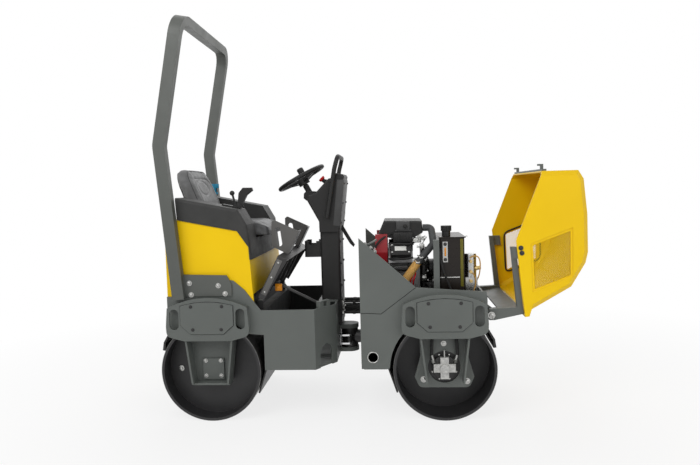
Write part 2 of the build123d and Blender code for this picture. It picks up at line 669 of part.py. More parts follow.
with BuildPart() as steering_wheel:
    with BuildSketch(WHEEL_PLANE * Plane.XZ):
        with Locations((WHEEL_R, 0)):
            Circle(WHEEL_TUBE_R)
    revolve(axis=Axis(WHEEL_PLANE.origin, WHEEL_AXIS))
    with BuildSketch(WHEEL_PLANE.offset(-HUB_DROP)):
        Circle(WHEEL_HUB_R)
    extrude(amount=HUB_TOP)
    for turn in (90, 210, 330):
        with BuildSketch(WHEEL_PLANE * Plane.XZ.rotated((0, 0, turn)).offset(-SPOKE_HALF)):
            with BuildLine():
                Polyline(
                    (SPOKE_ROOT, -HUB_DROP + SPOKE_T), (SPOKE_ROOT, -HUB_DROP + 2 * SPOKE_T),
                    (WHEEL_R, SPOKE_T / 2), (WHEEL_R, -SPOKE_T / 2), close=True)
            make_face()
        extrude(amount=2 * SPOKE_HALF)
    with BuildSketch(WHEEL_PLANE.offset(-HUB_DROP)):
        Circle(SPINDLE_R + RUNNING_FIT)
    extrude(amount=SPINDLE_LENGTH, mode=Mode.SUBTRACT)
    with BuildSketch(WHEEL_PLANE * Pos(WHEEL_R, 0, 0)):
        Circle(KNOB_PIN_R)
    extrude(amount=KNOB_PIN_H)
    with BuildSketch(WHEEL_PLANE * Pos(WHEEL_R, 0, KNOB_PIN_H - KNOB_PIN_LAP)):
        Circle(KNOB_R)
    extrude(amount=KNOB_H)
    fillet(steering_wheel.faces().sort_by(Axis.Z)[-1].edges(), KNOB_ROUND)
save(steering_wheel, "steering_wheel")

# Grab rail round the console's front
RAIL_SIDE = ((641, 495), (692, 780), (712, 853))
RAIL_STUDS = ((650, 545), (676, 690))
RAIL_Y = CONSOLE_HALF + RAIL_R + RAIL_GAP

with BuildPart() as grab_rail:
    rail_side = shifted(RAIL_SIDE, REAR_X, DECK_TOP)
    tube([(x, -RAIL_Y, z) for x, z in rail_side] + [(x, RAIL_Y, z) for x, z in reversed(rail_side)],
         RAIL_R, RAIL_BEND)
    for side in (1, -1):
        for x, z in shifted(RAIL_STUDS, REAR_X, DECK_TOP):
            bar((x, side * CONSOLE_HALF, z), (0, side, 0), RAIL_R + RAIL_GAP, RAIL_R - RAIL_GAP)
save(grab_rail, "grab_rail")

# Tool bin on the tower, with notches in its rim
BIN_DEPTH = 97
BIN_LOW = 262
BIN_HIGH = 357
BIN_RIGHT = -110
BIN_LEFT = 30
BIN_WALL = 5
BIN_NOTCH = 22

with BuildPart() as tool_bin:
    block(TOWER_REAR - BIN_DEPTH, TOWER_REAR, BIN_RIGHT, BIN_LEFT, DECK_TOP + BIN_LOW, DECK_TOP + BIN_HIGH)
    fillet(tool_bin.edges().filter_by(Axis.Z).group_by(Axis.X)[0], TOWER_RADIUS)
    block(TOWER_REAR - BIN_DEPTH + BIN_WALL, TOWER_REAR - BIN_WALL, BIN_RIGHT + BIN_WALL, BIN_LEFT - BIN_WALL,
          DECK_TOP + BIN_LOW + BIN_WALL, DECK_TOP + BIN_HIGH, Mode.SUBTRACT)
    block(TOWER_REAR - BIN_DEPTH / 2 - BIN_NOTCH, TOWER_REAR - BIN_DEPTH / 2 + BIN_NOTCH, BIN_RIGHT, BIN_LEFT,
          DECK_TOP + BIN_HIGH - BIN_NOTCH, DECK_TOP + BIN_HIGH, Mode.SUBTRACT)
save(tool_bin, "tool_bin")

# Floor plate in its raised place, with ribs, tongues, guards and a stay
RAISE = radians(FLOOR_RAISE)
FLOOR_SIDE = Plane(origin=(HINGE_X, 0, HINGE_Z), x_dir=(cos(RAISE), 0, sin(RAISE)), z_dir=(0, -1, 0))
FLANGE = (
    (FLOOR_START, FLOOR_TOP), (FLOOR_LENGTH, FLOOR_TOP), (FLOOR_LENGTH, -FLOOR_LIP), (FLOOR_START, -20),
)
GUARD_HIGH = 153
GUARD_SHOULDER = 145
GUARD_REAR = 90
GUARD_TIP = 21
GUARD_SLIP = 4
GUARD_ROUND = 10
GUARD_SLOT = 110
GUARD_SLOT_WIDTH = 28
GUARD_SLOT_TURN = 34
GUARD_SLOT_ALONG = 68
GUARD_SLOT_UP = 78
FLOOR_RIB_Y = (100, FLOOR_HALF - 145)
FLOOR_RIB_T = 8
FLOOR_RIB_DROP = 18
STAY_ALONG = 134
STAY_Y = FLOOR_HALF - 80
STAY_HALF = 6
STAY_FOOT = 16
STAY_FOOT_DROP = 20
STAY_LENGTH = 286
GUARD = (
    (FLOOR_LENGTH, -TONGUE_DROP), (TONGUE_END, -TONGUE_DROP), (TONGUE_END - GUARD_SLIP, GUARD_SHOULDER),
    (TONGUE_END - GUARD_TIP, GUARD_HIGH), (FLOOR_LENGTH, GUARD_REAR),
)


def floor_prism(points, y_low, y_high, mode=Mode.ADD):
    """Extrude an outline drawn in the raised floor's own axes."""
    with BuildSketch(FLOOR_SIDE.offset(-y_high)) as outline:
        with BuildLine():
            Polyline(*points, close=True)
        make_face()
    extrude(outline.sketch, amount=y_high - y_low, mode=mode)


def floor_box(u_low, u_high, v_low, v_high, y_low, y_high):
    """Add a box in the raised floor's own axes."""
    floor_prism([(u_low, v_low), (u_high, v_low), (u_high, v_high), (u_low, v_high)], y_low, y_high)


with BuildPart() as floor_plate:
    floor_box(FLOOR_START, FLOOR_LENGTH, FLOOR_UNDER, FLOOR_TOP, -FLOOR_HALF, FLOOR_HALF)
    floor_box(FLOOR_LENGTH - FLOOR_T, FLOOR_LENGTH, -FLOOR_LIP, FLOOR_TOP, -FLOOR_HALF, FLOOR_HALF)
    for low, high in both(FLOOR_HALF - FLOOR_T, FLOOR_HALF):
        floor_prism(FLANGE, low, high)
    for low, high in both(TONGUE_IN, TONGUE_OUT):
        floor_box(FLOOR_LENGTH - FLOOR_T, TONGUE_END, -TONGUE_DROP, -TONGUE_DROP + FLOOR_T, low, high)
    for rib_y in FLOOR_RIB_Y:
        for low, high in both(rib_y, rib_y + FLOOR_RIB_T):
            floor_box(2 * FLOOR_START, FLOOR_LENGTH, -FLOOR_RIB_DROP, FLOOR_TOP, low, high)
    for side in (1, -1):
        outer = HINGE_PLATE_IN - KNUCKLE_GAP
        low, high = sorted((side * outer, side * (outer - KNUCKLE_WIDTH)))
        floor_box(0, 2 * FLOOR_START, -HINGE_R, FLOOR_UNDER, low, high)
        bar((HINGE_X, side * outer, HINGE_Z), (0, -side, 0), KNUCKLE_WIDTH, HINGE_R + HINGE_EYE)
        bar((HINGE_X, side * outer, HINGE_Z), (0, -side, 0), KNUCKLE_WIDTH, HINGE_R + RUNNING_FIT,
            Mode.SUBTRACT)
save(floor_plate, "floor_plate")

with BuildPart() as foot_guards:
    with BuildSketch(FLOOR_SIDE.offset(TONGUE_OUT)) as guard:
        with BuildLine():
            Polyline(*GUARD, close=True)
        make_face()
        fillet(guard.vertices().group_by(Axis.Y)[-2:], GUARD_ROUND)
        with Locations((FLOOR_LENGTH + GUARD_SLOT_ALONG, GUARD_SLOT_UP)):
            SlotOverall(GUARD_SLOT, GUARD_SLOT_WIDTH, rotation=GUARD_SLOT_TURN, mode=Mode.SUBTRACT)
    extrude(amount=GUARD_T)
    mirror(about=Plane.XZ)
save(foot_guards, "foot_guards")

with BuildPart() as floor_stay:
    floor_box(STAY_ALONG - STAY_FOOT, STAY_ALONG + STAY_FOOT, FLOOR_UNDER - STAY_FOOT_DROP, FLOOR_UNDER,
              -STAY_Y - STAY_FOOT / 2, -STAY_Y + STAY_FOOT / 2)
    floor_box(STAY_ALONG - STAY_HALF, STAY_ALONG + STAY_HALF, FLOOR_UNDER - STAY_FOOT_DROP - STAY_LENGTH,
              FLOOR_UNDER - STAY_FOOT_DROP, -STAY_Y - STAY_HALF, -STAY_Y + STAY_HALF)
save(floor_stay, "floor_stay")

# Centre joint: a yoke on the upright pin, with a lengthwise shaft into the front frame
SHAFT_LENGTH = FRONT_SETBACK + BEARING_LENGTH + BEARING_GAP

with BuildPart() as centre_yoke:
    bar((PIVOT_X, 0, PIVOT_Z - LUG_GAP / 2 + YOKE_GAP), (0, 0, 1), LUG_GAP - 2 * YOKE_GAP, YOKE_R)
    bar((PIVOT_X, 0, PIVOT_Z), (1, 0, 0), SHAFT_LENGTH, SHAFT_R)
    bar((PIVOT_X + SHAFT_LENGTH, 0, PIVOT_Z), (1, 0, 0), SHAFT_COLLAR_T, SHAFT_R + SHAFT_COLLAR)
    block(PIVOT_X - STEER_EYE_R, PIVOT_X + STEER_EYE_R, -STEER_ARM, 0, PIVOT_Z - STEER_ARM_T / 2,
          PIVOT_Z + STEER_ARM_T / 2)
    arm_eye = (PIVOT_X, -STEER_ARM, PIVOT_Z - STEER_ARM_T / 2)
    bar(arm_eye, (0, 0, 1), STEER_ARM_T, STEER_EYE_R)
    bar(arm_eye, (0, 0, 1), STEER_ARM_T, STEER_PIN_R + STEER_SLACK, Mode.SUBTRACT)
    bar((PIVOT_X, 0, LUG_LOW), (0, 0, 1), 2 * LUG_GAP, PIN_R + RUNNING_FIT, Mode.SUBTRACT)
save(centre_yoke, "centre_yoke")

BARREL_REAR = 260
BARREL_LENGTH = 200
BARREL_EYE = 255
BARREL_EYE_HALF = 18
BARREL_WALL = 60
ROD_REAR = 130
CLEVIS_LENGTH = 58
CLEVIS_WEB = 10
CLEVIS_INNER = STEER_ARM_T / 2 + CLEVIS_GAP
CLEVIS_OUTER = CLEVIS_INNER + CLEVIS_T

with BuildPart() as steering_cylinder:
    bar((NOSE_X - BARREL_REAR, CYLINDER_Y, PIVOT_Z), (1, 0, 0), BARREL_LENGTH, BARREL_R)
    block(NOSE_X - CYLINDER_FOOT_LOW, NOSE_X - BARREL_EYE, CYLINDER_Y - BARREL_EYE_HALF,
          CYLINDER_Y + BARREL_EYE_HALF, PIVOT_Z - CYLINDER_EYE_HALF, PIVOT_Z + CYLINDER_EYE_HALF)
    bar((NOSE_X - BARREL_REAR + BARREL_WALL, CYLINDER_Y, PIVOT_Z), (1, 0, 0), BARREL_LENGTH,
        ROD_R + RUNNING_FIT, Mode.SUBTRACT)
save(steering_cylinder, "steering_cylinder")

with BuildPart() as steering_rod:
    bar((NOSE_X - ROD_REAR, CYLINDER_Y, PIVOT_Z), (1, 0, 0),
        NOSE_SETBACK + ROD_REAR - CLEVIS_LENGTH + CLEVIS_WEB, ROD_R)
    block(PIVOT_X - CLEVIS_LENGTH, PIVOT_X - CLEVIS_LENGTH + CLEVIS_WEB, CYLINDER_Y - CLEVIS_HALF,
          CYLINDER_Y + CLEVIS_HALF, PIVOT_Z - CLEVIS_OUTER, PIVOT_Z + CLEVIS_OUTER)
    for low in (PIVOT_Z - CLEVIS_OUTER, PIVOT_Z + CLEVIS_INNER):
        block(PIVOT_X - CLEVIS_LENGTH, PIVOT_X, CYLINDER_Y - CLEVIS_HALF, CYLINDER_Y + CLEVIS_HALF,
              low, low + CLEVIS_T)
        bar((PIVOT_X, CYLINDER_Y, low), (0, 0, 1), CLEVIS_T, CLEVIS_HALF)
    bar((PIVOT_X, CYLINDER_Y, PIVOT_Z - CLEVIS_OUTER), (0, 0, 1), 2 * CLEVIS_OUTER, STEER_PIN_R)
save(steering_rod, "steering_rod")

# Oil hoses that bend across the centre joint, with a nut at each end
HOSE_R = 9
HOSE_NUT_R = 14
HOSE_NUT_T = 14
HOSE_ENDS = ((-75, -80), (-25, -60), (25, -85), (75, -70))

with BuildPart() as joint_hoses:
    for hose_y, hose_drop in HOSE_ENDS:
        hose_z = DECK_TOP + hose_drop
        bar((TOWER_FRONT, hose_y, hose_z), (1, 0, 0), FRONT_END - TOWER_FRONT, HOSE_R)
        bar((TOWER_FRONT, hose_y, hose_z), (1, 0, 0), HOSE_NUT_T, HOSE_NUT_R)
        bar((FRONT_END, hose_y, hose_z), (-1, 0, 0), HOSE_NUT_T, HOSE_NUT_R)
save(joint_hoses, "joint_hoses")

# Front frame: cross plates with the shaft's bearing, side walls and upper side panels
REAR_EDGE = FRONT_END - FRONT_X
SIDE_SEAM = ((-405, -17), (-340, -21), (-149, 121))
SEAM_GAP = 0.8
PANEL_TIP = 394
WALL_END = 232
CORNER_CUT = (14, 30)
FRONT_PLATE = 205
HOOD_LUG_IN = 340
HOOD_LUG_T = 13
HOOD_LUG_EYE = 22
HOOD_PIN_R = 12
HOOD_PIN_LENGTH = 60
BEAM_IN = 360
BEAM_OUT = 400
TIE_HOLE_R = 27
TIE_HOLE_X = 64
TIE_HOLE_LIFT = 70
POST_GAP = 3
POST_DEPTH = 32
POST_OUT = 345
POST_WIDE = 30
POST_RISE = 367
BAY_TANK_X = FRONT_X - 11
FRONT_WALL = (
    (REAR_EDGE, BELLY_Z - DECK_TOP + CORNER_CUT[1]), (REAR_EDGE, SIDE_SEAM[0][1]), *SIDE_SEAM,
    (227, 93), (WALL_END, 50), (WALL_END, -110), (0, -130), (-WALL_X - PLATE, BELLY_Z - DECK_TOP),
    (REAR_EDGE + CORNER_CUT[0], BELLY_Z - DECK_TOP),
)
SIDE_PANEL = (
    (REAR_EDGE, SIDE_SEAM[0][1] + SEAM_GAP), (REAR_EDGE, PANEL_TIP),
    *shifted(reversed(SIDE_SEAM), 0, SEAM_GAP),
)
HOOD_LUG = (
    (FRONT_PLATE + PLATE, -65), (HINGE_AHEAD + HOOD_LUG_EYE, -HINGE_DROP - HOOD_LUG_EYE),
    (HINGE_AHEAD + HOOD_LUG_EYE, -HINGE_DROP + HOOD_LUG_EYE), (FRONT_PLATE + PLATE, 30),
)

with BuildPart() as front_chassis:
    block(FRONT_END, FRONT_END + PLATE, -PANEL_IN, PANEL_IN, BELLY_Z, END_TOP)
    block(FRONT_END, FRONT_X - WALL_X, -PANEL_IN, PANEL_IN, BELLY_Z, BELLY_Z + PLATE)
    block(FRONT_X - WALL_X - PLATE, FRONT_X - WALL_X, -PANEL_IN, PANEL_IN, BELLY_Z, DECK_TOP)
    block(FRONT_END, FRONT_X + FRONT_PLATE, -PANEL_IN, PANEL_IN, DECK_Z, DECK_TOP)
    block(FRONT_X + FRONT_PLATE, FRONT_X + FRONT_PLATE + PLATE, -PANEL_IN, PANEL_IN, END_LOW, END_TOP)
    bar((FRONT_END, 0, PIVOT_Z), (1, 0, 0), BEARING_LENGTH, BEARING_R)
    bar((FRONT_END, 0, PIVOT_Z), (1, 0, 0), BEARING_LENGTH, SHAFT_R + RUNNING_FIT, Mode.SUBTRACT)
    for low, high in both(HOOD_LUG_IN, HOOD_LUG_IN + HOOD_LUG_T):
        prism(shifted(HOOD_LUG, FRONT_X, DECK_TOP), low, high)
    for side in (1, -1):
        bar((HOOD_HINGE_X, side * (HOOD_LUG_IN + HOOD_LUG_T), HOOD_HINGE_Z), (0, side, 0),
            HOOD_PIN_LENGTH, HOOD_PIN_R)
    block(BAY_TANK_X - POST_GAP - POST_DEPTH, BAY_TANK_X - POST_GAP, -POST_OUT, -POST_OUT + POST_WIDE,
          DECK_TOP, DECK_TOP + POST_RISE)
save(front_chassis, "front_chassis")

with BuildPart() as front_side_walls:
    for low, high in both(PANEL_IN, PANEL_Y):
        prism(shifted(FRONT_WALL, FRONT_X, DECK_TOP), low, high)
    bar((FRONT_X, PANEL_Y, AXLE_Z), (0, -1, 0), 2 * PANEL_Y, ARCH_CUT_R, Mode.SUBTRACT)
    bar((FRONT_END + TIE_HOLE_X, PANEL_Y, AXLE_Z + TIE_HOLE_LIFT), (0, -1, 0), 2 * PANEL_Y, TIE_HOLE_R,
        Mode.SUBTRACT)
save(front_side_walls, "front_side_walls")

with BuildPart() as front_side_panels:
    for low, high in both(PANEL_IN, PANEL_Y):
        prism(shifted(SIDE_PANEL, FRONT_X, DECK_TOP), low, high)
save(front_side_panels, "front_side_panels")

# Engine: crankcase on feet, two finned cylinders in a vee, covers, fan housing and air cleaner
ENGINE_X = FRONT_X - 225
FOOT_RISE = 40
FOOT_Y = 110
FOOT_HALF = 20
FOOT_LENGTH = 240
CASE_FRONT = 110
CASE_REAR = 75
CASE_HALF = 140
CASE_TOP = 220
CYL_TILT = 50
CYL_Y = 60
CYL_LIFT = 190
CYL_SIZE = 110
CYL_LENGTH = 150
FIN_SIZE = 140
FIN_T = 5
FIN_START = 55
FIN_PITCH = 18
FIN_COUNT = 6
ROCKER_LONG = 120
ROCKER_WIDE = 96
ROCKER_DEPTH = 40
ROCKER_ROUND = 14
STARTER_R = 24
STARTER_LENGTH = 74
STARTER_LIFT = 203
STARTER_REAR = 34
FAN_DEPTH = 70
FAN_FACE = ((150, 60), (205, 290), (195, 395))
FAN_TOP = 366
FAN_R = 112
FAN_LIFT = 190
FAN_LIP = 12
FAN_GAP = 2
FAN_SLOTS = 14
FAN_SLOT_LONG = 64
FAN_SLOT_WIDE = 14
FAN_SLOT_R = 66
CLEANER_TOP = ((-128, 390), (-92, 471), (126, 466), (131, 400))
CLEANER_FOOT = ((80, 370), (-60, 370))
CLEANER_HALF = 170
CLEANER_ROUND = 12
INTAKE_REAR = 45
INTAKE_FRONT = 75
INTAKE_LOW = 280
INTAKE_LAP = 5
INTAKE_HALF = 45
NECK_HALF = 20
NECK_LONG = 30

with BuildPart() as engine_block:
    for low, high in both(FOOT_Y - FOOT_HALF, FOOT_Y + FOOT_HALF):
        block(ENGINE_X - FOOT_LENGTH / 2, ENGINE_X + FOOT_LENGTH / 2, low, high, DECK_TOP,
              DECK_TOP + FOOT_RISE)
    block(ENGINE_X - CASE_REAR, ENGINE_X + CASE_FRONT, -CASE_HALF, CASE_HALF, DECK_TOP + FOOT_RISE,
          DECK_TOP + CASE_TOP)
    for side in (1, -1):
        cylinder_foot = Plane(
            origin=(ENGINE_X, side * CYL_Y, DECK_TOP + CYL_LIFT), x_dir=(1, 0, 0),
            z_dir=(0, side * sin(radians(CYL_TILT)), cos(radians(CYL_TILT))))
        with BuildSketch(cylinder_foot):
            Rectangle(CYL_SIZE, CYL_SIZE)
        extrude(amount=CYL_LENGTH)
        for step in range(FIN_COUNT):
            with BuildSketch(cylinder_foot.offset(FIN_START + step * FIN_PITCH)):
                Rectangle(FIN_SIZE, FIN_SIZE)
            extrude(amount=FIN_T)
    bar((ENGINE_X - STARTER_REAR, -CASE_HALF - STARTER_R + FIN_T, DECK_TOP + STARTER_LIFT), (1, 0, 0),
        STARTER_LENGTH, STARTER_R)
save(engine_block, "engine_block")

with BuildPart() as rocker_covers:
    for side in (1, -1):
        along = (0, side * sin(radians(CYL_TILT)), cos(radians(CYL_TILT)))
        head = Plane(
            origin=(ENGINE_X, side * CYL_Y, DECK_TOP + CYL_LIFT), x_dir=(1, 0, 0), z_dir=along
        ).offset(CYL_LENGTH)
        with BuildSketch(head):
            RectangleRounded(ROCKER_LONG, ROCKER_WIDE, ROCKER_ROUND)
        extrude(amount=ROCKER_DEPTH, taper=ROCKER_ROUND / 2)
save(rocker_covers, "rocker_covers")

with BuildPart() as fan_housing:
    with BuildSketch(Plane.YZ.offset(ENGINE_X - CASE_REAR - FAN_DEPTH)):
        with BuildLine():
            Polyline(*shifted([*FAN_FACE, *flipped(reversed(FAN_FACE))], 0, DECK_TOP), close=True)
        make_face()
    extrude(amount=FAN_DEPTH)
    with BuildSketch(Plane.YZ.offset(ENGINE_X - CASE_REAR - FAN_DEPTH)) as screen:
        with Locations((0, DECK_TOP + FAN_LIFT)):
            Circle(FAN_R)
            with PolarLocations(FAN_SLOT_R, FAN_SLOTS):
                SlotOverall(FAN_SLOT_LONG, FAN_SLOT_WIDE, mode=Mode.SUBTRACT)
    extrude(amount=-FAN_LIP)
    block(ENGINE_X - CASE_REAR - FAN_DEPTH, ENGINE_X - CASE_REAR, -CLEANER_HALF - FAN_GAP,
          CLEANER_HALF + FAN_GAP, DECK_TOP + FAN_TOP, DECK_TOP + CLEANER_TOP[1][1], Mode.SUBTRACT)
save(fan_housing, "fan_housing")

with BuildPart() as air_cleaner:
    prism(shifted(CLEANER_TOP + CLEANER_FOOT, ENGINE_X, DECK_TOP), -CLEANER_HALF, CLEANER_HALF)
    fillet(rim(air_cleaner, shifted(CLEANER_TOP, ENGINE_X, DECK_TOP)), CLEANER_ROUND)
    block(ENGINE_X - INTAKE_REAR, ENGINE_X + INTAKE_FRONT, -INTAKE_HALF, INTAKE_HALF, DECK_TOP + INTAKE_LOW,
          DECK_TOP + CLEANER_FOOT[0][1] + INTAKE_LAP)
    block(ENGINE_X - NECK_LONG, ENGINE_X + NECK_LONG, -NECK_HALF, NECK_HALF, DECK_TOP + CASE_TOP,
          DECK_TOP + INTAKE_LOW)
save(air_cleaner, "air_cleaner")

# Air hose from the cleaner down to the deck
AIR_HOSE_R = 20
AIR_HOSE_BEND = 24
AIR_HOSE = (
    (180, -140, 425), (185, -250, 340), (96, -262, 238), (25, -266, 143), (25, -266, 0),
)

with BuildPart() as air_hose:
    tube([(ENGINE_X + CLEANER_TOP[-1][0], AIR_HOSE[0][1], DECK_TOP + AIR_HOSE[0][2])]
         + [(ENGINE_X + x, y, DECK_TOP + z) for x, y, z in AIR_HOSE], AIR_HOSE_R, AIR_HOSE_BEND)
save(air_hose, "air_hose")

# Muffler on the left of the engine, on two saddles
MUFFLER_R = 52
MUFFLER_Y = 250
MUFFLER_LIFT = 150
MUFFLER_LONG = 240
MUFFLER_ROUND = 16
SADDLE_X = 70
SADDLE_T = 24
SADDLE_HALF = 34
OUTLET_R = 16
OUTLET_LONG = 60

with BuildPart() as muffler:
    bar((ENGINE_X - MUFFLER_LONG / 2, MUFFLER_Y, DECK_TOP + MUFFLER_LIFT), (1, 0, 0), MUFFLER_LONG, MUFFLER_R)
    chamfer(muffler.edges().filter_by(GeomType.CIRCLE), MUFFLER_ROUND)
    for saddle_x in (ENGINE_X - SADDLE_X, ENGINE_X + SADDLE_X):
        block(saddle_x - SADDLE_T / 2, saddle_x + SADDLE_T / 2, MUFFLER_Y - SADDLE_HALF,
              MUFFLER_Y + SADDLE_HALF, DECK_TOP, DECK_TOP + MUFFLER_LIFT)
    bar((ENGINE_X + MUFFLER_LONG / 2 - MUFFLER_ROUND, MUFFLER_Y, DECK_TOP + MUFFLER_LIFT), (1, 0, 0),
        OUTLET_LONG + MUFFLER_ROUND, OUTLET_R)
save(muffler, "muffler")

# Oil tank with its filler cap, level gauge and filter
BAY_TANK_LONG = 140
BAY_TANK_RIGHT = -300
BAY_TANK_LEFT = 60
BAY_TANK_LOW = 83
BAY_TANK_HIGH = 380
BAY_TANK_ROUND = 10
BAY_TANK_RIM = 6
TANK_FEET = (-290, 30)
TANK_FOOT_WIDE = 20
TANK_FOOT_INSET = 10
CAP_X = 44
CAP_Y = -240
NECK_R = 24
NECK_RISE = 30
CAP_R = 30
CAP_RISE = 30
CAP_FLUTES = 12
FLUTE_R = 4
GAUGE = (18, 46, 240, 355)
GAUGE_T = 12
FILTER_X = FRONT_X + 166
FILTER_Y = -240
FILTER_HALF = 33
FILTER_BASE_Y = 50
FILTER_BASE_RISE = 150
FILTER_RISE = 130
FILTER_ROUND = 8

with BuildPart() as hydraulic_tank:
    block(BAY_TANK_X, BAY_TANK_X + BAY_TANK_LONG, BAY_TANK_RIGHT, BAY_TANK_LEFT, DECK_TOP + BAY_TANK_LOW,
          DECK_TOP + BAY_TANK_HIGH - BAY_TANK_RIM)
    fillet(hydraulic_tank.edges().filter_by(Axis.Z), BAY_TANK_ROUND)
    block(BAY_TANK_X - POST_GAP / 2, BAY_TANK_X + BAY_TANK_LONG + BAY_TANK_RIM, BAY_TANK_RIGHT - BAY_TANK_RIM,
          BAY_TANK_LEFT + BAY_TANK_RIM, DECK_TOP + BAY_TANK_HIGH - BAY_TANK_RIM, DECK_TOP + BAY_TANK_HIGH)
    for low in TANK_FEET:
        block(BAY_TANK_X + TANK_FOOT_INSET, BAY_TANK_X + BAY_TANK_LONG - TANK_FOOT_INSET, low,
              low + TANK_FOOT_WIDE, DECK_TOP, DECK_TOP + BAY_TANK_LOW)
save(hydraulic_tank, "hydraulic_tank")

with BuildPart() as tank_cap:
    neck_foot = (BAY_TANK_X + CAP_X, CAP_Y, DECK_TOP + BAY_TANK_HIGH)
    bar(neck_foot, (0, 0, 1), NECK_RISE, NECK_R)
    with BuildSketch(Plane(origin=neck_foot, z_dir=(0, 0, 1)).offset(NECK_RISE)):
        Circle(CAP_R)
        with PolarLocations(CAP_R, CAP_FLUTES):
            Circle(FLUTE_R, mode=Mode.SUBTRACT)
    extrude(amount=CAP_RISE)
save(tank_cap, "tank_cap")

with BuildPart() as sight_gauge:
    block(BAY_TANK_X + GAUGE[0], BAY_TANK_X + GAUGE[1], BAY_TANK_RIGHT - GAUGE_T, BAY_TANK_RIGHT,
          DECK_TOP + GAUGE[2], DECK_TOP + GAUGE[3])
save(sight_gauge, "sight_gauge")

with BuildPart() as oil_filter:
    block(FILTER_X - FILTER_HALF, FILTER_X + FILTER_HALF, FILTER_Y - FILTER_BASE_Y, FILTER_Y + FILTER_BASE_Y,
          DECK_TOP, DECK_TOP + FILTER_BASE_RISE)
    bar((FILTER_X, FILTER_Y, DECK_TOP + FILTER_BASE_RISE), (0, 0, 1), FILTER_RISE, FILTER_HALF)
    fillet(oil_filter.faces().sort_by(Axis.Z)[-1].edges(), FILTER_ROUND)
save(oil_filter, "oil_filter")

# Hood: a bevelled shell, open on its lower side, with sunk grille panels in its sides
HOOD_CROWN = (
    (275, HOOD_HEIGHT), (465, HOOD_HEIGHT), (493, HOOD_HEIGHT - 46), (512, HOOD_HEIGHT - 235),
    (HOOD_DEPTH, 332), (502, 274), (427, 147), (210, 21),
)
HOOD_MOUTH = ((201, -8), (178, -11), (133, 403))
HOOD_INNER_CROWN = (
    (240, HOOD_HEIGHT - HOOD_T), (460, HOOD_HEIGHT - HOOD_T), (485, HOOD_HEIGHT - 48),
    (504, HOOD_HEIGHT - 236), (HOOD_DEPTH - HOOD_T, 333), (494, 277), (421, 154), (206, 29),
)
HOOD_INNER_MOUTH = ((150, 29), (110, 403))
GRILLE = ((222, 374), (418, 447), (418, 212), (231, 140))
GRILLE_SUNK = ((210, 384), (430, 466), (430, 208), (219, 124))
GRILLE_PLATE = ((216, 379), (424, 456), (424, 210), (225, 132))
SUNK_DEPTH = 4
GRILLE_T = 3
GRILLE_MIDDLE = (322, 293)
GRILLE_SLOPE = 0.38
GRILLE_PITCH = 21
GRILLE_COLUMNS = 9
GRILLE_ROWS = 10
GRILLE_HOLE = 13
GRILLE_STEPS = [
    ((column - (GRILLE_COLUMNS - 1) / 2) * GRILLE_PITCH, (row - (GRILLE_ROWS - 1) / 2) * GRILLE_PITCH)
    for column in range(GRILLE_COLUMNS) for row in range(GRILLE_ROWS)
]
GRILLE_HOLES = shifted([(x, z + GRILLE_SLOPE * x) for x, z in GRILLE_STEPS], *GRILLE_MIDDLE)


def hooded(points):
    """Place an outline that is counted from the hood's hinge."""
    return shifted(points, HOOD_HINGE_X, HOOD_HINGE_Z)


with BuildPart() as hood_inside:
    prism(hooded(HOOD_INNER_CROWN + HOOD_INNER_MOUTH), -HOOD_HALF + HOOD_T, HOOD_HALF - HOOD_T)
    chamfer(rim(hood_inside, hooded(HOOD_INNER_CROWN)), HOOD_BEVEL - HOOD_T / 2)

with BuildPart() as hood_shell:
    prism(hooded(HOOD_CROWN + HOOD_MOUTH), -HOOD_HALF, HOOD_HALF)
    chamfer(rim(hood_shell, hooded(HOOD_CROWN)), HOOD_BEVEL)
    add(hood_inside.part, mode=Mode.SUBTRACT)
    for low, high in both(HOOD_HALF - SUNK_DEPTH, HOOD_HALF):
        prism(hooded(GRILLE_SUNK), low, high, Mode.SUBTRACT)
    prism(hooded(GRILLE), -HOOD_HALF, HOOD_HALF, Mode.SUBTRACT)
save(hood_shell, "hood_shell")

with BuildPart() as hood_grilles:
    with BuildSketch(Plane.XZ.offset(HOOD_HALF - HOOD_T - GRILLE_T)):
        with BuildLine():
            Polyline(*hooded(GRILLE_PLATE), close=True)
        make_face()
        with Locations(*hooded(GRILLE_HOLES)):
            Rectangle(GRILLE_HOLE, GRILLE_HOLE, rotation=45, mode=Mode.SUBTRACT)
    extrude(amount=GRILLE_T)
    mirror(about=Plane.XZ)
save(hood_grilles, "hood_grilles")

# Hood frame: two hinged beams, posts bolted into the shell, a cross plate and the latch bar
HOOD_BEAM = ((-8, -30), (18, -30), (176, 3), (172, 40), (18, 33), (-8, 30), (-26, 14), (-26, -14))
HOOD_POST = ((140, 36), (172, 36), (134, 367), (108, 367))
HOOD_EAR = ((116, 305), (186, 305), (180, 367), (110, 367))
CROSS_PLATE = ((60, 0), (165, 20), (165, 28), (60, 8))
POST_IN = 370
EAR_T = 8
LATCH_BAR = ((277, 0), (303, 0), (303, 11), (277, 11))
LATCH_HALF = 380
LATCH_HOOK = ((281, 11), (297, 11), (297, 39), (266, 39), (266, 29), (281, 29))
LATCH_HOOK_Y = 330
LATCH_HOOK_HALF = 6

with BuildPart() as hood_frame:
    for low, high in both(BEAM_IN, BEAM_OUT):
        prism(hooded(HOOD_BEAM), low, high)
    for side in (1, -1):
        bar((HOOD_HINGE_X, side * BEAM_IN, HOOD_HINGE_Z), (0, side, 0), BEAM_OUT - BEAM_IN,
            HOOD_PIN_R + RUNNING_FIT, Mode.SUBTRACT)
    for low, high in both(POST_IN, BEAM_OUT):
        prism(hooded(HOOD_POST), low, high)
    for low, high in both(BEAM_OUT - EAR_T, HOOD_HALF - HOOD_T):
        prism(hooded(HOOD_EAR), low, high)
    prism(hooded(CROSS_PLATE), -BEAM_IN, BEAM_IN)
save(hood_frame, "hood_frame")

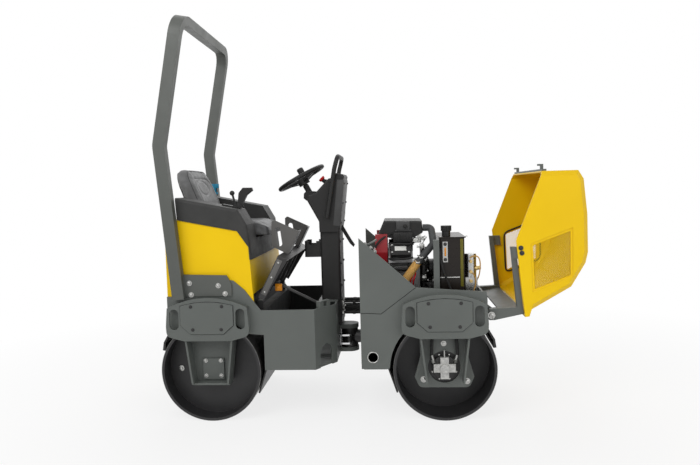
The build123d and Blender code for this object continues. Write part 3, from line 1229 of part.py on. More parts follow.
with BuildPart() as hood_latch:
    prism(shifted(hooded(LATCH_BAR), 0, HOOD_HEIGHT), -LATCH_HALF, LATCH_HALF)
    for hook_y in (-LATCH_HOOK_Y, LATCH_HOOK_Y):
        prism(shifted(hooded(LATCH_HOOK), 0, HOOD_HEIGHT), hook_y - LATCH_HOOK_HALF, hook_y + LATCH_HOOK_HALF)
save(hood_latch, "hood_latch")

# Scrapers: an upper blade under the deck's end and a lower blade under the belly
SCRAPER_HALF = 420
UPPER_BLADE = ((-215, 240), (-225, 240), (-272, 160), (-279, 115), (-263, 112), (-262, 156))
BLADE_TIP = (256, -130)
BLADE_T = 8


def scraper_pair(axle_x, turn):
    lower_blade = (
        (WALL_X + BLADE_T, BELLY_LIFT), (WALL_X, BELLY_LIFT), BLADE_TIP,
        (BLADE_TIP[0] + BLADE_T, BLADE_TIP[1] - BLADE_T / 2),
    )
    with BuildPart() as piece:
        for outline in (UPPER_BLADE, lower_blade):
            prism(shifted(turn(outline), axle_x, AXLE_Z), -SCRAPER_HALF, SCRAPER_HALF)
    return piece


save(scraper_pair(REAR_X, list), "rear_scrapers")
save(scraper_pair(FRONT_X, flipped), "front_scrapers")
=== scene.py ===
# %% [markdown]
# # A small tandem road roller, dressed for its portrait
#
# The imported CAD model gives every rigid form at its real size. This lesson adds what a painter, an
# upholsterer and a fitter would add: finishes, a stuffed seat, bolts, hoses, trim and punched sheet.
# Lengths are metres, +X is forward, +Y is the driver's left and the ground is Z = 0.

# %% Load the frame
import math

import bmesh
import bpy
from mathutils import Matrix, Vector


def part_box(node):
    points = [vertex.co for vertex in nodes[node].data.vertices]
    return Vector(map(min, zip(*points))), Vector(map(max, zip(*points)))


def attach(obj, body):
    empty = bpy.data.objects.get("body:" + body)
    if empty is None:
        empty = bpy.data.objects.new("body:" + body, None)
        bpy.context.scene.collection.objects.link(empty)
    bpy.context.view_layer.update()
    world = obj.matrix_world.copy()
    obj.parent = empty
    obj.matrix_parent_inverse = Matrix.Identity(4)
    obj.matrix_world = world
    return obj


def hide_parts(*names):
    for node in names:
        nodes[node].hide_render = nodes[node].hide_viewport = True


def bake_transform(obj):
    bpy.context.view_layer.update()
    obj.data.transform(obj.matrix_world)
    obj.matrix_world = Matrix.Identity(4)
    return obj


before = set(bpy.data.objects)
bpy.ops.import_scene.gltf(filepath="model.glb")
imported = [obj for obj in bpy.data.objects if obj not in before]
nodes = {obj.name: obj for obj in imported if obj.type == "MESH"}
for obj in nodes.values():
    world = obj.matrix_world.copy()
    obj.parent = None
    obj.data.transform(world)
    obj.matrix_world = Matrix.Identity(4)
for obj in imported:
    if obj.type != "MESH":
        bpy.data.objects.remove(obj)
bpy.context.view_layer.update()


def linked(name, data):
    """A new object in the scene."""
    made = bpy.data.objects.new(name, data)
    bpy.context.scene.collection.objects.link(made)
    return made


def as_mesh(name, shape):
    """Close a bmesh into a mesh."""
    mesh = bpy.data.meshes.new(name)
    shape.to_mesh(mesh)
    shape.free()
    return mesh


# %% [markdown]
# ## The camera
#
# A portrait is easiest to compare with the real machine when the camera stands where the
# photographer stood. The spot and angles come from the drums: their rims are circles of a known
# size, so their outlines fix the lens and the place.

# %% Camera at the photographer's place
PHOTO_WIDTH = 700
FOCAL_PIXELS = 629.37
SENSOR_WIDTH = 36
CAMERA_SPOT = Vector((0.1455, -3.8165, 1.2704))
YAW, PITCH, ROLL = -0.0716, -0.0690, -0.0269

ahead = Vector((math.sin(YAW) * math.cos(PITCH), math.cos(YAW) * math.cos(PITCH), math.sin(PITCH)))
level = Vector((math.cos(YAW), -math.sin(YAW), 0))
upright = level.cross(ahead)
right = level * math.cos(ROLL) + upright * math.sin(ROLL)
above = upright * math.cos(ROLL) - level * math.sin(ROLL)

camera_data = bpy.data.cameras.new("portrait_camera")
camera_data.sensor_width = SENSOR_WIDTH
camera_data.lens = FOCAL_PIXELS / PHOTO_WIDTH * SENSOR_WIDTH
camera = linked("portrait_camera", camera_data)
camera.matrix_world = (
    Matrix.Translation(CAMERA_SPOT) @ Matrix((right, above, -ahead)).transposed().to_4x4())
bpy.context.scene.camera = camera
print("lens", round(camera_data.lens, 2), "mm")

# %% [markdown]
# ## Looks: the shared steps
#
# A look is a small graph of nodes. `fill` links sockets to a node's inputs or sets plain values
# there, and `add` makes a node and fills it. The patterns read Object coordinates, so they stay put
# on a piece when it moves. A Bevel node rounds the corners for the light, as paint does when it
# draws back from a sharp edge.

# %% Helpers for finishes
BEVEL_SAMPLES = 6
WORN_TURN, FLAT_TURN = 0.78, 0.97


def fill(node, inputs):
    """Link a socket to, or set a value on, each input that is named or numbered."""
    for key, value in inputs.items():
        if isinstance(value, bpy.types.NodeSocket):
            node.id_data.links.new(value, node.inputs[key])
        else:
            node.inputs[key].default_value = value


def add(tree, kind, inputs=None, operation=None):
    """Make a shader node, set its operation and fill its inputs."""
    node = tree.nodes.new("ShaderNode" + kind)
    if operation:
        node.operation = operation
    fill(node, inputs or {})
    return node


def start_finish(name, colour, roughness, metallic=0.0):
    """Make a material and return it with its node tree and main shader."""
    finish = bpy.data.materials.new(name)
    finish.use_nodes = True
    shader = finish.node_tree.nodes["Principled BSDF"]
    fill(shader, {"Base Color": (*colour, 1), "Roughness": roughness, "Metallic": metallic})
    return finish, finish.node_tree, shader


def own_place(tree):
    """Object coordinates."""
    return add(tree, "TexCoord").outputs["Object"]


def noise(tree, scale, detail=4.0, stretch=(1, 1, 1)):
    """A noise field on Object coordinates, stretched along some axes."""
    place = add(tree, "Mapping", {"Vector": own_place(tree), "Scale": stretch})
    field = add(tree, "TexNoise", {"Vector": place.outputs["Vector"], "Scale": scale, "Detail": detail})
    return field.outputs["Fac"]


def spread(tree, field, low, high, from_low=0.3, from_high=0.7):
    """Stretch a field's middle range over new limits."""
    ramp = add(tree, "MapRange", {
        "Value": field, "From Min": from_low, "From Max": from_high, "To Min": low, "To Max": high})
    return ramp.outputs["Result"]


def tones(tree, field, dark, light):
    """Mix two colours, given as sockets or as red, green and blue, by a field."""
    mix = tree.nodes.new("ShaderNodeMix")
    mix.data_type = "RGBA"
    dark, light = ((*colour, 1) if isinstance(colour, tuple) else colour for colour in (dark, light))
    fill(mix, {0: field, 6: dark, 7: light})
    return mix.outputs[2]


def clouds(tree, dark, light, scale, *pattern):
    """Two tones in soft clouds."""
    return tones(tree, spread(tree, noise(tree, scale, *pattern), 0, 1), dark, light)


def rounded_normal(tree, radius):
    """The surface's direction, with corners rounded for the light."""
    corner = add(tree, "Bevel", {"Radius": radius})
    corner.samples = BEVEL_SAMPLES
    return corner.outputs["Normal"]


def relief(tree, shader, field, strength, distance, edge=0.0):
    """Give the surface a fine relief, over corners that are rounded for the light."""
    bump = add(tree, "Bump", {"Strength": strength, "Distance": distance, "Height": field})
    if edge:
        fill(bump, {"Normal": rounded_normal(tree, edge)})
    fill(shader, {"Normal": bump.outputs["Normal"]})


def edge_wear(tree, reach):
    """A field that is 1 along sharp corners and 0 on flat faces."""
    flat = add(tree, "NewGeometry").outputs["True Normal"]
    turn = add(tree, "VectorMath", {0: rounded_normal(tree, reach), 1: flat}, "DOT_PRODUCT")
    return spread(tree, turn.outputs["Value"], 1.0, 0.0, WORN_TURN, FLAT_TURN)


def scaled(colour, factor):
    """A lighter or darker tone of a colour."""
    return tuple(channel * factor for channel in colour)


print("finish helpers ready")

# %% [markdown]
# ## The studio
#
# The machine stands in a white studio. A real one has a white sweep and large soft boxes. Here the
# camera and the reflections see a white world, while lamps and a dimmer ambient light fall on the
# paint, so the colours stay close to how they are written.

# %% World, floor and soft boxes
WHITE = (1, 1, 1, 1)
AMBIENT_STRENGTH = 0.38
FLOOR_REACH = 30
FLOOR_GLOW = 0.78
FADE_NEAR, FADE_FAR = 1.2, 3.6
FLOOR_COLOUR, FLOOR_ROUGHNESS = (0.86, 0.86, 0.86), 0.9
LAMPS_AIM = Vector((0, 0, 0.8))
SOFT_BOXES = (
    ("key_box", (-2.6, -4.2, 4.4), 4.0, 150),
    ("fill_box", (3.6, -4.4, 2.6), 4.0, 75),
    ("rear_box", (0.4, 3.6, 4.6), 4.5, 110),
)


def background_rays(tree):
    """Say where a ray comes straight from the camera, a mirror or glass."""
    path = add(tree, "LightPath")
    total = path.outputs["Is Camera Ray"]
    for kind in ("Is Glossy Ray", "Is Transmission Ray"):
        either = add(tree, "Math", {0: total, 1: path.outputs[kind]}, "ADD")
        either.use_clamp = True
        total = either.outputs[0]
    return total


world = bpy.data.worlds.new("white_studio")
bpy.context.scene.world = world
world.use_nodes = True
world_tree = world.node_tree
ambient = world_tree.nodes["Background"]
fill(ambient, {"Color": WHITE, "Strength": AMBIENT_STRENGTH})
sweep = add(world_tree, "Background", {"Color": WHITE})
world_mix = add(world_tree, "MixShader", {
    0: background_rays(world_tree), 1: ambient.outputs[0], 2: sweep.outputs[0]})
fill(world_tree.nodes["World Output"], {0: world_mix.outputs[0]})

floor_finish, floor_tree, floor_shader = start_finish("studio_floor", FLOOR_COLOUR, FLOOR_ROUGHNESS)
floor_distance = add(floor_tree, "VectorMath", {0: own_place(floor_tree)}, "LENGTH")
floor_fade = spread(floor_tree, floor_distance.outputs["Value"], FLOOR_GLOW, 1, FADE_NEAR, FADE_FAR)
floor_share = add(floor_tree, "Math", {0: background_rays(floor_tree), 1: floor_fade}, "MULTIPLY")
floor_glow = add(floor_tree, "Emission", {"Color": WHITE})
floor_mix = add(floor_tree, "MixShader", {
    0: floor_share.outputs[0], 1: floor_shader.outputs[0], 2: floor_glow.outputs[0]})
fill(floor_tree.nodes["Material Output"], {0: floor_mix.outputs[0]})

floor_shape = bmesh.new()
bmesh.ops.create_grid(floor_shape, size=FLOOR_REACH)
studio_floor = linked("studio_floor", as_mesh("studio_floor", floor_shape))
studio_floor.data.materials.append(floor_finish)

for box_name, box_spot, box_size, box_watts in SOFT_BOXES:
    lamp = bpy.data.lights.new(box_name, "AREA")
    lamp.size = box_size
    lamp.energy = box_watts
    lamp_object = linked(box_name, lamp)
    lamp_object.location = box_spot
    lamp_object.rotation_euler = (LAMPS_AIM - Vector(box_spot)).to_track_quat("-Z", "Y").to_euler()
bpy.context.scene.view_settings.view_transform = "Standard"
print(len(SOFT_BOXES), "soft boxes over a white floor")

# %% [markdown]
# ## Paint and plastic
#
# Every coat starts from one shader and gets four things: clouds in its colour, lighter corners where
# hands and straps rub, an uneven gloss and a fine relief. The frame is sprayed a satin slate grey and
# the small iron parts black, with a faint orange peel. The hood and the tank are moulded in yellow
# plastic, and a low specular level keeps the white studio from washing the yellow out. The tower, the
# console and the seat's surround come from an etched mould, so their skin has a grain of about a
# millimetre. Rubber is duller.


# %% Coats
def coated(
        name, colour, roughness, cloud_scale, cloud_tones, wear_reach, worn_tone,
        gloss_scale, gloss_range, grain, specular=0.5):
    """A coat: grain holds the relief's scale, detail, strength, depth and edge radius."""
    finish, tree, shader = start_finish(name, colour, roughness)
    scale, detail, *bump = grain
    fill(shader, {
        "Base Color": tones(
            tree, edge_wear(tree, wear_reach), clouds(tree, *cloud_tones, cloud_scale), worn_tone),
        "Roughness": spread(tree, noise(tree, gloss_scale), *gloss_range),
        "Specular IOR Level": specular})
    relief(tree, shader, noise(tree, scale, detail), *bump)
    return finish


def sprayed(name, colour, roughness, worn=1.7):
    """Spray paint on steel, with orange peel."""
    return coated(
        name, colour, roughness, cloud_scale=3.0, cloud_tones=(scaled(colour, 0.93), scaled(colour, 1.07)),
        wear_reach=0.0025, worn_tone=scaled(colour, worn),
        gloss_scale=14.0, gloss_range=(roughness - 0.05, roughness + 0.07),
        grain=(420.0, 2.0, 0.12, 0.0006, 0.002))


def etched(name, colour, roughness, grain=700.0, depth=0.35):
    """Plastic or rubber from an etched mould."""
    return coated(
        name, colour, roughness, cloud_scale=6.0, cloud_tones=(scaled(colour, 0.85), scaled(colour, 1.2)),
        wear_reach=0.003, worn_tone=scaled(colour, 2.0),
        gloss_scale=30.0, gloss_range=(roughness - 0.06, roughness + 0.06),
        grain=(grain, 1.0, depth, 0.0005, 0.003), specular=0.26)


slate_grey = sprayed("slate_grey_paint", (0.104, 0.114, 0.106), 0.47)
# The hoop is the frame's slate grey made darker: painted shade, because the lamps light the hoop more than
# the frame.
hoop_shaded_grey = sprayed("hoop_shaded_grey_paint", (0.083, 0.089, 0.081), 0.47)
black_iron = sprayed("black_iron_paint", (0.015, 0.014, 0.014), 0.42, worn=3.0)
dark_grey = sprayed("dark_grey_paint", (0.092, 0.089, 0.085), 0.5)
fan_red = sprayed("fan_red_paint", (0.27, 0.008, 0.013), 0.34, worn=1.25)
yellow_skin = coated(
    "moulded_yellow", (0.90, 0.57, 0.003), 0.36,
    cloud_scale=2.2, cloud_tones=((0.87, 0.55, 0.002), (0.93, 0.61, 0.003)),
    wear_reach=0.003, worn_tone=(0.95, 0.66, 0.03), gloss_scale=9.0, gloss_range=(0.31, 0.42),
    grain=(160.0, 2.0, 0.05, 0.0006, 0.004), specular=0.2)

surround_grey = etched("surround_plastic", (0.037, 0.037, 0.036), 0.55)
tower_black = etched("tower_plastic", (0.015, 0.0146, 0.0143), 0.48)
oil_tank_black = etched("oil_tank_paint", (0.012, 0.0085, 0.0065), 0.3, 400.0, 0.08)
soft_rubber = etched("soft_rubber", (0.018, 0.018, 0.018), 0.7, 300.0, 0.2)
hose_grey = etched("grey_hose_rubber", (0.055, 0.057, 0.058), 0.6, 500.0, 0.2)
# A lighter grey that is painted highlight, on the console lid and the air cleaner's latch box; the hub cap
# shares it.
console_highlight_grey = etched("console_highlight_plastic", (0.058, 0.058, 0.058), 0.5)
signal_red = etched("signal_red_plastic", (0.55, 0.012, 0.012), 0.35, 500.0, 0.1)
amber = etched("amber_plastic", (0.70, 0.26, 0.01), 0.3, 500.0, 0.1)
clip_blue = etched("blue_clip_plastic", (0.012, 0.20, 0.34), 0.4, 500.0, 0.1)
tan_sleeve = etched("tan_sleeve", (0.50, 0.29, 0.085), 0.6, 300.0, 0.25)
# Olive painted reflection, for the light along the oil tank's edge.
olive_reflection_strip = etched("olive_painted_reflection", (0.13, 0.115, 0.012), 0.5, 500.0, 0.1)
blank_plate = etched("blank_plate", (0.62, 0.62, 0.59), 0.4, 500.0, 0.08)
lamp_green = etched("green_lens", (0.02, 0.22, 0.05), 0.25, 500.0, 0.05)
print("paints, mouldings and rubber")

# %% [markdown]
# ## Bare metal
#
# Bolts and pins are zinc plated, the engine is cast alloy, and a few fittings are brass. Metal shows
# mostly what it reflects, so its finish is a matter of roughness: fine streaks for turned parts
# and coarse grain for castings.


# %% Metals
def metal(name, colour, roughness, grain, depth, stretch=(1, 1, 1)):
    finish, tree, shader = start_finish(name, colour, roughness, 1.0)
    field = noise(tree, grain, 3.0, stretch)
    fill(shader, {
        "Base Color": tones(tree, spread(tree, field, 0, 1), scaled(colour, 0.8), colour),
        "Roughness": spread(tree, field, roughness - 0.08, roughness + 0.1)})
    relief(tree, shader, field, depth, 0.0005, 0.0012)
    return finish


zinc = metal("zinc_plate", (0.46, 0.46, 0.445), 0.26, 180.0, 0.06)
cast_alloy = metal("cast_alloy", (0.30, 0.30, 0.30), 0.52, 260.0, 0.5)
brass = metal("yellow_brass", (0.62, 0.46, 0.2), 0.32, 200.0, 0.08)
chrome = metal("chromed_rod", (0.75, 0.75, 0.76), 0.12, 400.0, 0.02, (0.05, 1, 1))
print("four metals")

# %% [markdown]
# ## Drums, motors and seat
#
# A drum's ends are black paint and its rolling face is bare steel, polished by gravel. One material
# can hold both: the distance from the axle says which is which, because the piece's own coordinates
# turn with it. A drum motor's black flange and bright casting share a material in the same way, told
# apart by their place along the axle. The seat is vinyl, a pebbled skin of cells about two
# millimetres wide.

# %% Drum steel, motor casting and seat vinyl
DRUM_EDGE = 0.0035
FLANGE_FACE = 0.396
PEBBLE_SCALE, PEBBLE_EDGE = 420.0, 0.25


def drum_finish(name, axle, radius):
    finish, tree, shader = start_finish(name, (0.014, 0.0135, 0.0145), 0.45)
    centred = add(tree, "VectorMath", {0: own_place(tree), 1: axle}, "SUBTRACT")
    flat = add(tree, "VectorMath", {0: centred.outputs[0], 1: (1, 0, 1)}, "MULTIPLY")
    length = add(tree, "VectorMath", {0: flat.outputs[0]}, "LENGTH")
    rolling = spread(tree, length.outputs["Value"], 0, 1, radius - DRUM_EDGE, radius - DRUM_EDGE / 2)
    paint = clouds(tree, (0.013, 0.0125, 0.0135), (0.021, 0.0205, 0.0215), 8.0)
    steel = clouds(tree, (0.10, 0.098, 0.096), (0.2, 0.197, 0.19), 40.0, 6.0, (1, 0.1, 1))
    fill(shader, {
        "Base Color": tones(tree, rolling, paint, steel),
        "Roughness": spread(tree, rolling, 0.44, 0.36, 0, 1),
        "Metallic": spread(tree, rolling, 0.0, 0.85, 0, 1)})
    relief(tree, shader, noise(tree, 260.0, 3.0), 0.1, 0.0006, 0.0015)
    return finish


def motor_finish():
    finish, tree, shader = start_finish("motor_casting", (0.02, 0.02, 0.02), 0.45)
    axes = add(tree, "SeparateXYZ", {0: own_place(tree)})
    depth = add(tree, "Math", {0: axes.outputs["Y"]}, "ABSOLUTE")
    bright = spread(tree, depth.outputs[0], 0, 1, FLANGE_FACE + 0.001, FLANGE_FACE + 0.002)
    black = clouds(tree, (0.012, 0.012, 0.012), (0.02, 0.02, 0.02), 20.0)
    alloy = clouds(tree, (0.36, 0.36, 0.35), (0.52, 0.52, 0.5), 90.0)
    fill(shader, {
        "Base Color": tones(tree, bright, black, alloy),
        "Metallic": spread(tree, bright, 0.0, 0.8, 0, 1),
        "Roughness": spread(tree, noise(tree, 60.0), 0.4, 0.55)})
    relief(tree, shader, noise(tree, 300.0, 2.0), 0.3, 0.0005, 0.002)
    return finish


def vinyl(name, colour):
    finish, tree, shader = start_finish(name, colour, 0.5)
    fill(shader, {
        "Base Color": clouds(tree, scaled(colour, 0.85), scaled(colour, 1.15), 9.0),
        "Roughness": spread(tree, noise(tree, 25.0), 0.44, 0.58),
        "Sheen Weight": 0.08})
    pebbles = tree.nodes.new("ShaderNodeTexVoronoi")
    pebbles.feature = "DISTANCE_TO_EDGE"
    fill(pebbles, {"Vector": own_place(tree), "Scale": PEBBLE_SCALE})
    relief(tree, shader, spread(tree, pebbles.outputs["Distance"], 0, 1, 0.0, PEBBLE_EDGE), 0.3, 0.0004)
    return finish


def middle(node):
    """The middle of a CAD node's box."""
    low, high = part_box(node)
    return (low + high) / 2


rear_axle, front_axle = middle("rear_drum"), middle("front_drum")
drum_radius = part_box("rear_drum")[1].z / 2
rear_drum_steel = drum_finish("rear_drum_steel", rear_axle, drum_radius)
front_drum_steel = drum_finish("front_drum_steel", front_axle, drum_radius)
motor_casting = motor_finish()
seat_vinyl = vinyl("seat_vinyl", (0.118, 0.119, 0.12))
# The cushion is the back's vinyl made darker: painted shade.
cushion_shaded_vinyl = vinyl("cushion_shaded_vinyl", (0.068, 0.069, 0.07))
piping_vinyl = vinyl("piping_vinyl", (0.045, 0.045, 0.046))
print("drums of radius", round(drum_radius, 3), "and seat vinyl")

# %% [markdown]
# The finish turns black inside the well under the floor plate and at the foot of the tank behind the
# hinge. Each is one whole piece, so its finish turns black inside a box.

# %% Black inside the well
# Black inside a box, for the well under the floor plate and the foot of the tank.
BOX_BLACK = (0.011, 0.011, 0.011)
BOX_EDGE = 1.002


def black_in_box(finish, name, low, high):
    """A copy of a finish that turns black inside a box."""
    low, high = Vector(low), Vector(high)
    copy = finish.copy()
    copy.name = name
    tree = copy.node_tree
    centred = add(tree, "VectorMath", {0: own_place(tree), 1: (low + high) / 2}, "SUBTRACT")
    away = add(tree, "VectorMath", {0: centred.outputs["Vector"]}, "ABSOLUTE")
    reach = add(tree, "VectorMath", {0: away.outputs["Vector"], 1: (high - low) / 2}, "DIVIDE")
    axes = add(tree, "SeparateXYZ", {0: reach.outputs["Vector"]}).outputs
    farthest = axes["X"]
    for axis in ("Y", "Z"):
        farthest = add(tree, "Math", {0: farthest, 1: axes[axis]}, "MAXIMUM").outputs["Value"]
    outside = spread(tree, farthest, 0, 1, 1.0, BOX_EDGE)
    shader = tree.nodes["Principled BSDF"]
    coat = shader.inputs["Base Color"].links[0].from_socket
    fill(shader, {"Base Color": tones(tree, outside, BOX_BLACK, coat)})
    return copy


black_in_box_grey = black_in_box(slate_grey, "black_in_box_grey_paint", (-0.640, -0.431, 0.300), (-0.305, 0.431, 0.660))
black_in_box_yellow = black_in_box(yellow_skin, "black_in_box_yellow", (-0.700, -0.415, 0.600), (-0.630, 0.415, 0.705))
print("black inside the well")

# %% [markdown]
# ## Dressing the CAD pieces
#
# The rigid pieces already have the right shape, so they only need a finish. Each node's material slot
# is filled by name, and a missing name stops the script at once.

# %% Give every CAD node its finish
DRESS = {
    black_in_box_grey: ("rear_chassis",),
    slate_grey: (
        "rear_arches", "rear_arch_covers", "rear_arms", "rear_axle_stubs",
        "front_chassis", "front_side_walls", "front_side_panels", "front_arches", "front_arch_covers",
        "front_arms", "hood_frame", "hood_latch"),
    hoop_shaded_grey: ("rops_hoop",),
    black_in_box_yellow: ("tank_body",),
    yellow_skin: ("hood_shell", "hood_grilles"),
    surround_grey: ("seat_surround",),
    tower_black: (
        "seat_base", "steering_tower", "dash_console", "tool_bin", "control_levers", "tank_cap",
        "air_cleaner", "steering_wheel", "grab_rail", "rocker_covers"),
    dark_grey: ("foot_guards",),
    black_iron: (
        "floor_plate", "rear_scrapers", "front_scrapers", "floor_stay",
        "steering_cylinder", "centre_yoke", "muffler"),
    oil_tank_black: ("hydraulic_tank",),
    zinc: ("sight_gauge", "oil_filter"),
    chrome: ("steering_rod",),
    cast_alloy: ("engine_block",),
    motor_casting: ("drum_motors",),
    fan_red: ("fan_housing",),
    hose_grey: ("air_hose",),
    soft_rubber: ("joint_hoses",),
    seat_vinyl: ("seat_cushion", "seat_back"),
    rear_drum_steel: ("rear_drum",),
    front_drum_steel: ("front_drum",),
}
for finish, dressed in DRESS.items():
    for node in dressed:
        nodes[node].data.materials.clear()
        nodes[node].data.materials.append(finish)
bare = sorted(set(nodes) - {node for dressed in DRESS.values() for node in dressed})
print("nodes with no finish:", bare)

# %% [markdown]
# ## Shapes: the shared steps
#
# Small parts are built from a few bmesh shapes: a turned rod, a rounded slab, a ring and a bolt. Each
# helper adds its shape to a bmesh that is still open, so one piece can hold many of them. `settle`
# turns that bmesh into an object that rides on a body, and `build` makes a whole piece from a list of
# helpers and what they are given. A look is a finish with the name of its slot.

# %% Helpers for shapes
SIDES = (-1, 1)
SHARP_ABOVE, SHARP_ABOVE_ROUND = 38, 60
PLATED, BLACK, RUBBER = (zinc, "bare_steel"), (black_iron, "black_steel"), (soft_rubber, "hose_rubber")


def placed(spot, facing):
    """Carry a shape made along Z to a spot, and turn it to face a direction."""
    return Matrix.Translation(spot) @ Vector(facing).to_track_quat("Z", "Y").to_matrix().to_4x4()


def soften(shape, edges, offset, segments=2):
    """Round these edges."""
    bmesh.ops.bevel(
        shape, geom=list(edges), offset=offset, segments=segments, profile=0.5, affect="EDGES",
        material=-1)


def edges_of(made):
    """The edges of a shape that was just made."""
    return {edge for vert in made["verts"] for edge in vert.link_edges}


def rod(shape, start, end, radius, sides=20, round_by=0.0, tip=None):
    """A round bar between two points, tapered if a tip radius is given."""
    start, end = Vector(start), Vector(end)
    made = bmesh.ops.create_cone(
        shape, cap_ends=True, segments=sides, radius1=radius, radius2=radius if tip is None else tip,
        depth=(end - start).length, matrix=placed((start + end) / 2, end - start))
    if round_by:
        soften(shape, {edge for edge in edges_of(made) if any(
            len(face.verts) > 4 for face in edge.link_faces)}, round_by)


def block(shape, place, size, round_by):
    """A box of a size with soft edges, carried and turned by a matrix."""
    made = bmesh.ops.create_cube(shape, size=1, matrix=place @ Matrix.Diagonal((*size, 1)))
    soften(shape, edges_of(made), round_by)


def slab(shape, low, high, round_by=0.002, turn=None):
    """A box between two corners with soft edges, turned about its middle if a matrix is given."""
    low, high = Vector(low), Vector(high)
    place = Matrix.Translation((low + high) / 2) @ (turn or Matrix.Identity(4))
    block(shape, place, high - low, round_by)


def ring(shape, spot, facing, radius, thick, steps=32):
    """A round-section ring, spun from a small circle."""
    place = placed(spot, facing)
    turn = Matrix.Rotation(math.radians(90), 4, "X")
    made = bmesh.ops.create_circle(
        shape, cap_ends=False, segments=10, radius=thick,
        matrix=place @ Matrix.Translation((radius, 0, 0)) @ turn)
    bmesh.ops.spin(
        shape, geom=list(edges_of(made)), cent=place.translation,
        axis=place.to_3x3() @ Vector((0, 0, 1)), angle=math.tau, steps=steps, use_merge=True)


def bolt(shape, spot, facing, size=0.008, washer=True):
    """A six-sided head with worn corners on a round washer."""
    spot, facing = Vector(spot), Vector(facing).normalized()
    base = spot
    if washer:
        base = spot + facing * size * 0.25
        rod(shape, spot, base, size * 1.55, 24)
    top = base + facing * size * 0.75
    rod(shape, base, top, size, 6, tip=size * 0.94)
    rod(shape, top, base + facing * size * 0.85, size * 0.8, 16, tip=size * 0.62)


def side_bolts(shape, spots, face, size, washer=True):
    """Bolts at the same X and Z on both sides of the machine, facing outwards."""
    for side in SIDES:
        for x, z in spots:
            bolt(shape, (x, side * face, z), (0, side, 0), size, washer)


def around(axle, offsets):
    """X and Z of spots round an axle."""
    return [(axle.x + x, axle.z + z) for x, z in offsets]


def shown(name, shape, finish, smooth_below=SHARP_ABOVE):
    """Turn a bmesh into a named object with a finish."""
    bmesh.ops.recalc_face_normals(shape, faces=shape.faces[:])
    mesh = as_mesh(name, shape)
    mesh.materials.append(finish)
    mesh.shade_smooth()
    mesh.set_sharp_from_angle(angle=math.radians(smooth_below))
    made = linked(name, mesh)
    print(name, len(mesh.polygons), "faces")
    return made


def settle(name, shape, body, look, smooth_below=SHARP_ABOVE):
    """A finished piece that rides on a body."""
    finish, slot = look
    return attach(shown(name, shape, finish, smooth_below), body)


def build(name, body, look, *parts, smooth_below=SHARP_ABOVE):
    """A piece made of parts, each a helper followed by what it is given."""
    shape = bmesh.new()
    for helper, *given in parts:
        helper(shape, *given)
    return settle(name, shape, body, look, smooth_below)


def made_by(piece):
    """The mesh that an object's curve or modifiers make."""
    bpy.context.view_layer.update()
    return bpy.data.meshes.new_from_object(piece.evaluated_get(bpy.context.evaluated_depsgraph_get()))


def tubes(name, routes, radius, closed=False):
    """Round tubes: closed loops of points, or smooth lines guided by given points."""
    curve = bpy.data.curves.new(name, "CURVE")
    curve.dimensions = "3D"
    curve.bevel_depth = radius
    curve.bevel_resolution = 3 if closed else 4
    curve.resolution_u = 8
    curve.use_fill_caps = not closed
    for route in routes:
        line = curve.splines.new("POLY" if closed else "NURBS")
        line.points.add(len(route) - 1)
        for point, spot in zip(line.points, route):
            point.co = (*spot, 1)
        if closed:
            line.use_cyclic_u = True
        else:
            line.order_u = 3
            line.use_endpoint_u = True
    holder = linked(name, curve)
    shape = bmesh.new()
    shape.from_mesh(made_by(holder))
    bpy.data.objects.remove(holder)
    return shape


def hoses(name, routes, radius, body, look):
    """Fixed hoses or cables as one piece that rides on a body."""
    return settle(name, tubes(name, routes, radius), body, look, SHARP_ABOVE_ROUND)


print("shape helpers ready")

# %% [markdown]
# ## The stuffed seat
#
# The seat is foam in a sewn vinyl cover. Foam pushes the cover out between its seams, and that is what
# makes a cushion look soft. It could be sculpted by hand, but the cloth solver does it from the pad's
# own shape: the CAD pad is copied, cut into small even cells, shrunk a little and blown up with air
# pressure. Points on the seat pan are held, so that the pad stays flat where it rests.

# %% Fill a pad with air pressure
VOXEL = 0.009
AIR_PRESSURE = 4.0
SIM_FRAMES = 12
HELD_HEIGHT = 0.02
MOST_RISE = 0.012


def keep_result(piece):
    """Put what the modifiers make into the piece's own mesh."""
    made = made_by(piece)
    piece.modifiers.clear()
    piece.data = made


def pad_from(node, name, shrink):
    """Copy a CAD pad into even cells, a little smaller than it is."""
    shape = bmesh.new()
    shape.from_mesh(nodes[node].data)
    bmesh.ops.remove_doubles(shape, verts=shape.verts[:], dist=1e-5)
    pad = linked(name, as_mesh(name, shape))
    cells = pad.modifiers.new("cells", "REMESH")
    cells.mode = "VOXEL"
    cells.voxel_size = VOXEL
    keep_result(pad)
    for vert in pad.data.vertices:
        vert.co -= vert.normal * shrink
    return pad


def blow_up(pad, foot):
    """Let air push the cover out, by no more than a set distance, and hold it near its foot."""
    held = pad.vertex_groups.new(name="held")
    held.add([vert.index for vert in pad.data.vertices if vert.co.z < foot + HELD_HEIGHT], 1.0, "REPLACE")
    start = [vert.co.copy() for vert in pad.data.vertices]
    cloth = pad.modifiers.new("cover", "CLOTH")
    cloth.settings.vertex_group_mass = held.name
    cloth.settings.quality = 3
    cloth.settings.use_pressure = True
    cloth.settings.uniform_pressure_force = AIR_PRESSURE
    cloth.settings.effector_weights.gravity = 0
    for step in range(1, SIM_FRAMES + 1):
        bpy.context.scene.frame_set(step)
    keep_result(pad)
    bpy.context.scene.frame_set(1)
    for vert, before in zip(pad.data.vertices, start):
        move = vert.co - before
        if move.length > MOST_RISE:
            vert.co = before + move.normalized() * MOST_RISE
    finer = pad.modifiers.new("finer", "SUBSURF")
    finer.levels = finer.render_levels = 1
    keep_result(pad)
    pad.vertex_groups.clear()


print("pads use cells of", VOXEL * 1000, "mm")

# %% [markdown]
# A seam pulls the cover down into the foam along a line. After the pad is blown up, points near the
# seam's line are moved inwards, with a soft falloff. A thin bead of piping runs along the pad's edges.

